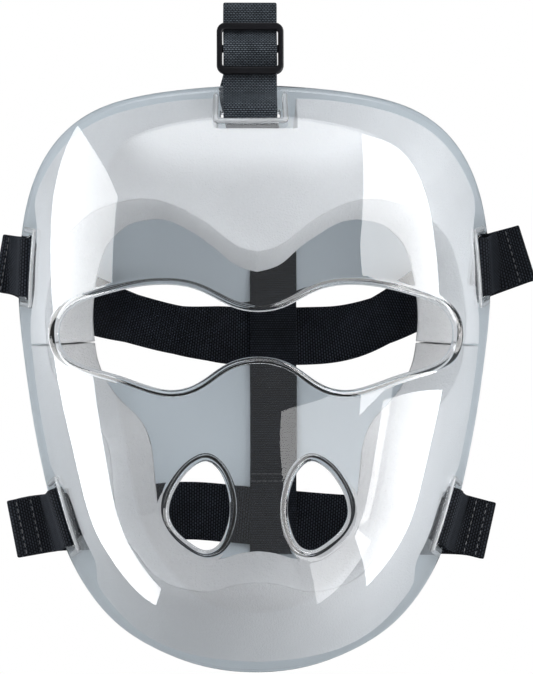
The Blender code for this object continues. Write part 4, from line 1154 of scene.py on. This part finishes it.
def seam(line, x, y, least, reach):
    """Middles, directions and normals of a row of stitches from -reach to reach across a band, where its
    middle line passes nearest (x, y) as seen from above and is higher than least. They lie on the face
    that looks up."""
    path, side, up, even = line
    away = np.hypot(path[:, 0] - x, path[:, 1] - y) + (path[:, 2] < least)
    at = even[away.argmin()]
    middle, side, up = ([np.interp(at, even, column) for column in rows.T] for rows in (path, side, up))
    side, up = unit(np.array(side)), unit(np.array(up)) * (-1 if up[2] < 0 else 1)
    spread = np.linspace(-reach, reach, STITCHES_ACROSS)[:, None]
    place = np.array(middle) + side * spread + up * TOP_SKIN
    return place, np.tile(side, (STITCHES_ACROSS, 1)), np.tile(up, (STITCHES_ACROSS, 1))


def end_seams(line, end):
    """Seams across a strap's upper layer, at given distances outside the rim."""
    rim = face([slot_frame(end)[0]])[0]
    turn = math.radians(STRAP_ENDS[end]["turn"])
    out = np.array([STRAP_ENDS[end]["side"] * math.cos(turn), math.sin(turn)])
    places = [rim[:2] + out * distance for distance in SIDE_SEAMS[end]]
    return [seam(line, *place, SIDE_SEAM_LEAST, SIDE_SEAM_REACH) for place in places]


def build_stitches(name, rows):
    """All stitches as one piece: a capsule whose radius is the square root of one less the cube of its
    place along it, carried to every place by its direction, its normal and their cross product."""
    t = np.linspace(-1, 1, STITCH_RINGS)[:, None]
    phase = np.linspace(0, 2 * HALF_TURN, STITCH_SIDES, endpoint=False)
    radius = STITCH_RADIUS * np.sqrt(np.clip(1.02 - np.abs(t) ** 3, 0.02, 1))
    x = (t * STITCH_LENGTH / 2 + 0 * phase).reshape(-1, 1)
    y = (radius * np.cos(phase)).reshape(-1, 1)
    z = (radius * np.sin(phase) - STITCH_RADIUS * STITCH_DIP * np.abs(t) ** 3).reshape(-1, 1)
    place, ahead, up = (np.vstack([row[k] for row in rows])[:, None] for k in range(3))
    lean = y * np.cross(up, ahead) + z * up
    points = (place + x * ahead + lean).reshape(-1, 3)
    index = np.arange(STITCH_RINGS * STITCH_SIDES).reshape(STITCH_RINGS, STITCH_SIDES)
    start = (np.arange(len(place)) * index.size)[:, None, None]
    quads = (skin(index)[None] + start).reshape(-1, 4)
    caps = (np.stack([index[0][::-1], index[-1]])[None] + start).reshape(-1, STITCH_SIDES)
    return plant(name, points, [turned_out(points, lean.reshape(-1, 3), quads), caps])


lines = {"upper": upper_line, "lower": lower_line}
side_seams = [row for end in SIDE_SEAMS for row in end_seams(lines[end.split("_")[0]], end)]
stitches = belongs(build_stitches("side_stitches", side_seams), "upper_elastic")
sleeve_seams = [seam(crown_line, CROWN_X, y, SLEEVE_SEAM_LEAST, SLEEVE_SEAM_REACH) for y in SLEEVE_SEAMS]
sleeve_stitches = belongs(build_stitches("sleeve_stitches", sleeve_seams), "crown_elastic")

# %% [markdown]
# Finishes come next. Each is a small tree of nodes, and each shows what its real surface has: pores and
# knife marks in the foam, the bricks of a plain weave in the elastics and the webbing, the fine grain of
# moulded nylon, and the faint waves and wipe marks of clear pressed plastic. Some colours are painted
# light besides: a highlight along each thread of the weave and shade in its gaps, a dim highlight on the
# sewing thread, shade on the chin pad's foam, and a whitish highlight on the ribs.

# %% A short way to write node trees


def finish(piece, name):
    """The node tree and the main shader of a new material on a piece."""
    material = bpy.data.materials.new(name)
    material.use_nodes = True
    piece.data.materials.clear()
    piece.data.materials.append(material)
    return material.node_tree, material.node_tree.nodes["Principled BSDF"]


def fill(tree, made, **sockets):
    """Gives a node's sockets numbers, colours or links, each under its name or under i and its number."""
    for key, value in sockets.items():
        socket = made.inputs[int(key[1:]) if key[0] == "i" and key[1:].isdigit() else key.replace("_", " ")]
        if isinstance(value, bpy.types.NodeSocket):
            tree.links.new(value, socket)
        else:
            socket.default_value = value
    return made


def node(tree, kind, settings=None, **sockets):
    """A new node of a kind, with its own choices as settings and its sockets filled."""
    made = tree.nodes.new("ShaderNode" + kind)
    for key, value in (settings or {}).items():
        setattr(made, key, value)
    return fill(tree, made, **sockets)


def object_place(tree):
    """The place on the piece that a shader works at, in metres from the object's origin."""
    return node(tree, "TexCoord").outputs["Object"]


def ramp(tree, factor, stops):
    """A colour ramp through stops of (position, colour)."""
    made = node(tree, "ValToRGB", i0=factor)
    band_stops = made.color_ramp.elements
    for position, _ in stops[2:]:
        band_stops.new(position)
    for stop, (position, colour) in zip(band_stops, sorted(stops)):
        stop.position = position
        stop.color = (*colour, 1)
    return made.outputs["Color"]


def noise(tree, place, scale, detail, rough):
    """Fractal noise from 0 to 1: layers of smooth random bumps, each finer and weaker than the last."""
    return node(tree, "TexNoise", Vector=place, Scale=scale, Detail=detail, Roughness=rough).outputs["Fac"]


def bump(tree, height, distance, strength, under=None):
    """A normal tipped by the slope of a height, on top of another such normal if one is given."""
    below = {} if under is None else {"Normal": under}
    made = node(tree, "Bump", Height=height, Distance=distance, Strength=strength, **below)
    return made.outputs["Normal"]


def maths(tree, operation, first, second):
    """One sum on two numbers or sockets."""
    return node(tree, "Math", {"operation": operation}, i0=first, i1=second).outputs[0]


# %% Clear plastic
PLASTIC_TINT = (0.94, 0.955, 0.97, 1)
PLASTIC_IOR = 1.53


def plastic_finish(piece, name, clearness=1.0):
    """Clear pressed plastic: a glassy surface with a slight tint, faint waves from the mould and uneven
    wipe marks in its gloss. Light that falls through it to the foam is let straight through."""
    tree, shader = finish(piece, name)
    place = object_place(tree)
    wipe = noise(tree, place, 60.0, 4.0, 0.6)
    gloss = node(tree, "MapRange", Value=wipe, i1=0.35, i2=0.75, i3=0.012, i4=0.045).outputs[0]
    waves = bump(tree, noise(tree, place, 22.0, 1.0, 0.4), 0.0004, 0.35)
    fill(tree, shader, Base_Color=PLASTIC_TINT, Transmission_Weight=clearness, IOR=PLASTIC_IOR)
    fill(tree, shader, Roughness=gloss, Normal=waves)
    clear = node(tree, "BsdfTransparent", Color=(0.95, 0.955, 0.96, 1))
    shadow = node(tree, "LightPath").outputs["Is Shadow Ray"]
    mix = node(tree, "MixShader", i0=shadow, i1=shader.outputs[0], i2=clear.outputs[0])
    fill(tree, tree.nodes["Material Output"], Surface=mix.outputs[0])
    print(name, "is clear plastic")


plastic_finish(shell, "clear_plastic")
# The ribs let through less light than the shell, so part of their surface is whitish and diffuse: a painted
# highlight for the bright edges of the clear ribs.
plastic_finish(ribs, "clear_rib_plastic", 0.72)

# %% Foam


def foam_finish(piece, name, light, dark):
    """Closed-cell foam: pale, dull, with pores under a millimetre, soft shading in patches, and rougher,
    slightly darker walls where the knife went."""
    tree, shader = finish(piece, name)
    place = object_place(tree)
    cells = node(tree, "TexVoronoi", Vector=place, Scale=1400.0)
    grain = noise(tree, place, 900.0, 4.0, 0.7)
    patches = noise(tree, place, 28.0, 3.0, 0.5)
    cut = node(tree, "Attribute", {"attribute_name": "cut"}).outputs["Fac"]
    tone = maths(tree, "ADD", maths(tree, "MULTIPLY", grain, 0.5), maths(tree, "MULTIPLY", patches, 0.5))
    colour = ramp(tree, tone, [(0.30, dark), (0.70, light)])
    # the cut walls are mixed towards a tone slightly darker than the foam's dark stop
    wall_tone = tuple(0.86 * c for c in dark)
    share = maths(tree, "MULTIPLY", cut, 0.45)
    walls = node(tree, "Mix", {"data_type": "RGBA"}, i0=share, i6=colour, i7=(*wall_tone, 1))
    fill(tree, shader, Base_Color=walls.outputs[2], Roughness=0.92, Sheen_Weight=0.15, Sheen_Roughness=0.6)
    ragged = noise(tree, place, 260.0, 5.0, 0.75)
    deep = maths(tree, "MULTIPLY", ragged, cut)
    pores = bump(tree, cells.outputs["Distance"], 0.00035, 0.6)
    fill(tree, shader, Normal=bump(tree, deep, 0.0011, 0.9, pores))
    print(name, "is closed-cell foam")


foam_finish(forehead_foam, "pale_foam", (0.86, 0.86, 0.87), (0.77, 0.775, 0.785))
# The chin pad's foam colours are painted darker than the forehead pad's: painted shade, because the chin side
# faces away from the light.
foam_finish(chin_foam, "chin_foam", (0.72, 0.72, 0.73), (0.62, 0.62, 0.63))

# %% Elastic and webbing
PER_MILLIMETRE = 1000.0
# The thread colours carry a painted highlight along each thread's middle, and the near-black gap colour is
# painted shade between the threads; the weave's pattern itself is real.
ELASTIC_THREAD = (0.040, 0.047, 0.060)
WEBBING_THREAD = (0.19, 0.22, 0.25)
GAP_SHADE = (0.0008, 0.001, 0.0016)


def cloth_finish(piece, name, size, thread, sheen, depth, share=0.36):
    """Woven band: a staggered brick pattern on the band's own metres for its threads, each brighter along
    its middle as a painted highlight, with near-black gaps between them as painted shade, fine fibre
    noise, and dust in patches. share is how much of a thread's width fades into the gap on each side of it."""
    tree, shader = finish(piece, name)
    weave = node(tree, "UVMap", {"uv_map": "weave"}).outputs[0]
    bricks = node(
        tree, "TexBrick", {"offset": 0.5, "offset_frequency": 2}, Vector=weave, Scale=PER_MILLIMETRE,
        Color1=(*thread, 1), Color2=(*(0.72 * c for c in thread), 1), Mortar=(*GAP_SHADE, 1),
        Brick_Width=size[0], Row_Height=size[1], Mortar_Size=share * size[1], Mortar_Smooth=1.0,
    )
    place = object_place(tree)
    fibre = noise(tree, place, 2600.0, 3.0, 0.7)
    dust = noise(tree, place, 45.0, 4.0, 0.6)
    faded = ramp(tree, dust, [(0.35, (0.75, 0.77, 0.80)), (0.72, (1.25, 1.25, 1.28))])
    multiply = {"data_type": "RGBA", "blend_type": "MULTIPLY"}
    tinted = node(tree, "Mix", multiply, i0=1.0, i6=bricks.outputs["Color"], i7=faded)
    fill(tree, shader, Base_Color=tinted.outputs[2], Roughness=0.72, Specular_IOR_Level=0.03)
    fill(tree, shader, Sheen_Weight=sheen, Sheen_Roughness=0.45, Sheen_Tint=(0.75, 0.82, 0.95, 1))
    raised = maths(tree, "SUBTRACT", 1.0, bricks.outputs["Fac"])
    fuzz = bump(tree, fibre, 0.00012, 0.5)
    fill(tree, shader, Normal=bump(tree, raised, depth, 0.9, fuzz))
    print(name, "is woven", size, "mm")


cloth_finish(upper, "flat_elastic_upper", (1.5, 1.05), ELASTIC_THREAD, 0.03, 0.00024, 0.46)
cloth_finish(lower, "flat_elastic_lower", (1.5, 1.05), ELASTIC_THREAD, 0.03, 0.00024, 0.46)
cloth_finish(crown, "ribbed_elastic", (0.7, 1.0), ELASTIC_THREAD, 0.05, 0.00012)
cloth_finish(webbing, "twill_webbing", (1.35, 0.76), WEBBING_THREAD, 0.02, 0.00022, 0.46)

# %% Thread and buckle


def thread_finish(piece, name):
    """Twisted sewing thread: dark, with a slant of fine bands over it whose lighter bands are a painted dim
    highlight along the twist.
    """
    tree, shader = finish(piece, name)
    place = object_place(tree)
    twist = node(tree, "TexWave", {"bands_direction": "DIAGONAL"}, Vector=place, Scale=900.0, Distortion=1.0)
    # the lighter stop is a painted dim highlight on the twist's ridges
    colour = ramp(tree, twist.outputs["Fac"], [(0.2, (0.014, 0.015, 0.019)), (0.9, (0.060, 0.066, 0.078))])
    ridges = bump(tree, twist.outputs["Fac"], 0.00008, 0.8)
    fill(tree, shader, Base_Color=colour, Roughness=0.6, Normal=ridges)
    print(name, "is sewing thread")


thread_finish(stitches, "dark_thread")
thread_finish(sleeve_stitches, "sleeve_thread")


def nylon_finish(piece, name):
    """Moulded nylon: black and satin, with a fine sandy grain and gloss that is rubbed up in patches."""
    tree, shader = finish(piece, name)
    place = object_place(tree)
    grain = noise(tree, place, 1800.0, 3.0, 0.6)
    rubbed = noise(tree, place, 120.0, 3.0, 0.6)
    colour = ramp(tree, rubbed, [(0.35, (0.008, 0.008, 0.010)), (0.75, (0.016, 0.016, 0.020))])
    gloss = node(tree, "MapRange", Value=rubbed, i1=0.3, i2=0.75, i3=0.40, i4=0.30).outputs[0]
    fill(tree, shader, Base_Color=colour, Specular_IOR_Level=0.12, Roughness=gloss)
    fill(tree, shader, Normal=bump(tree, grain, 0.00006, 0.5))
    print(name, "is satin nylon")


nylon_finish(buckle, "black_nylon")

# %% [markdown]
# In the photograph the ground is plain white round the mask, and grey where it is seen through the
# clear plastic. The floor here does both: it is white to look at, and a soft grey to the light that
# comes through the plastic or bounces.

# %% Floor
FLOOR_GREY = (0.75, 0.82, 0.87, 1)
FLOOR_WHITE = (1.0, 1.0, 1.0, 1)
FLOOR_REACH = 3.0
floor_mesh = bpy.data.meshes.new("floor")
square = np.array([(-1, -1, 0), (1, -1, 0), (1, 1, 0), (-1, 1, 0)]) * FLOOR_REACH
floor_mesh.from_pydata(square.tolist(), [], [(0, 1, 2, 3)])
floor = bpy.data.objects.new("floor", floor_mesh)
bpy.context.scene.collection.objects.link(floor)
floor_tree, floor_shader = finish(floor, "pale_floor")
fill(floor_tree, floor_shader, Base_Color=FLOOR_GREY, Roughness=1.0)
white = node(floor_tree, "Emission", Color=FLOOR_WHITE, Strength=1.0)
seen = node(floor_tree, "LightPath").outputs["Is Camera Ray"]
ground = node(floor_tree, "MixShader", i0=seen, i1=floor_shader.outputs[0], i2=white.outputs[0])
fill(floor_tree, floor_tree.nodes["Material Output"], Surface=ground.outputs[0])
print("floor is white to look at")

# %% [markdown]
# The white shapes on the clear shell are the mirror images of soft panels. One broad panel hangs high
# on the right, two lean close to the right side, one stands low there, and two stand on the left. Each
# is given by a corner and its two edges, so that the outline of its image can be set. These six only
# show in mirror images; the seventh gives the foam and the straps their soft light.

# %% Light
PANEL_AIM = (0, 0, 0.05)
SKY_EDGE = (0.74, 0.97)  # between these shares of a straight look beyond the forehead, it brightens
SKY_COLOUR = (0.97, 0.985, 1.0, 1)
SKY_ROOM = 0.38  # how bright the room is where it lights the foam and the straps
SKY_MIRRORED = 0.3  # how bright it is in the shell's mirror images
SKY_BEYOND = 3.2  # how bright it is there low beyond the forehead
SKY_SEEN = 1.0  # how bright the backdrop is beyond the floor, where the mask is seen from the side


def panel(name, corner, edge, rise, radiance, mirrored_only=True):
    """A flat panel from a corner and two edges, in metres from the shell's middle. Its power is radiance
    times pi times its area, and it faces the mask."""
    corner, edge, rise = (np.array(v, float) for v in (corner, edge, rise))
    light = bpy.data.lights.new(name, "AREA")
    light.shape = "RECTANGLE"
    light.size = float(np.linalg.norm(edge))
    rise = rise - unit(edge) * (rise @ unit(edge))
    light.size_y = float(np.linalg.norm(rise))
    light.energy = radiance * math.pi * light.size * light.size_y
    centre = corner + (edge + rise) / 2 + MIDDLE
    x, y = unit(edge), unit(rise)
    z = np.cross(x, y)
    if z @ (np.array(PANEL_AIM) + MIDDLE - centre) > 0:
        x, z = -x, -z
    holder = bpy.data.objects.new(name, light)
    bpy.context.scene.collection.objects.link(holder)
    turn = np.eye(4)
    turn[:3, 0], turn[:3, 1], turn[:3, 2], turn[:3, 3] = x, y, z, centre
    holder.matrix_world = Matrix(turn.tolist())
    holder.visible_camera = False
    holder.visible_transmission = False
    holder.visible_diffuse = not mirrored_only
    holder.visible_glossy = mirrored_only
    print(name, round(light.energy, 2), "W")


panel("high_right", (0.38, -0.95, 1.0), (1.5, 0, -0.75), (0, 1.1, 0), 4.5)
panel("near_right_brow", (0.136, 0.01, 0.028), (0, 0.30, 0.035), (0.095, 0, 0.215), 8.0)
panel("near_right_cheek", (0.132, -0.17, 0.014), (0, 0.16, 0), (0.048, 0, 0.110), 6.5)
panel("low_right", (0.31, -0.74, 0.0), (0.35, 0.28, 0), (0, 0, 0.36), 4.0)
panel("left_upper", (-0.142, 0.02, 0.0), (0, 0.14, 0), (-0.03, 0, 0.092), 6.0)
panel("left_lower", (-0.116, -0.19, -0.014), (-0.018, 0.21, 0.014), (-0.012, 0, 0.050), 7.5)
panel("soft_key", (-0.90, 0.85, 0.55), (1.3, 0.25, 0), (0.05, -0.5, 1.0), 1.5, False)

world = bpy.data.worlds.new("studio")
bpy.context.scene.world = world
world.use_nodes = True
tree = world.node_tree
way = node(tree, "TexCoord").outputs["Generated"]
beyond = node(tree, "SeparateXYZ", Vector=way).outputs["Y"]
smooth, plain = {"interpolation_type": "SMOOTHSTEP"}, {"data_type": "FLOAT"}
start, end = SKY_EDGE
glow = node(tree, "MapRange", smooth, Value=beyond, i1=start, i2=end, i3=SKY_MIRRORED, i4=SKY_BEYOND)
ray = node(tree, "LightPath").outputs
lit = node(tree, "Mix", plain, i0=ray["Is Glossy Ray"], i2=SKY_ROOM, i3=glow.outputs[0]).outputs[0]
level = node(tree, "Mix", plain, i0=ray["Is Camera Ray"], i2=lit, i3=SKY_SEEN).outputs[0]
fill(tree, tree.nodes["Background"], Color=SKY_COLOUR, Strength=level)
bpy.context.scene.view_settings.view_transform = "Standard"
bpy.context.scene.view_settings.look = "None"
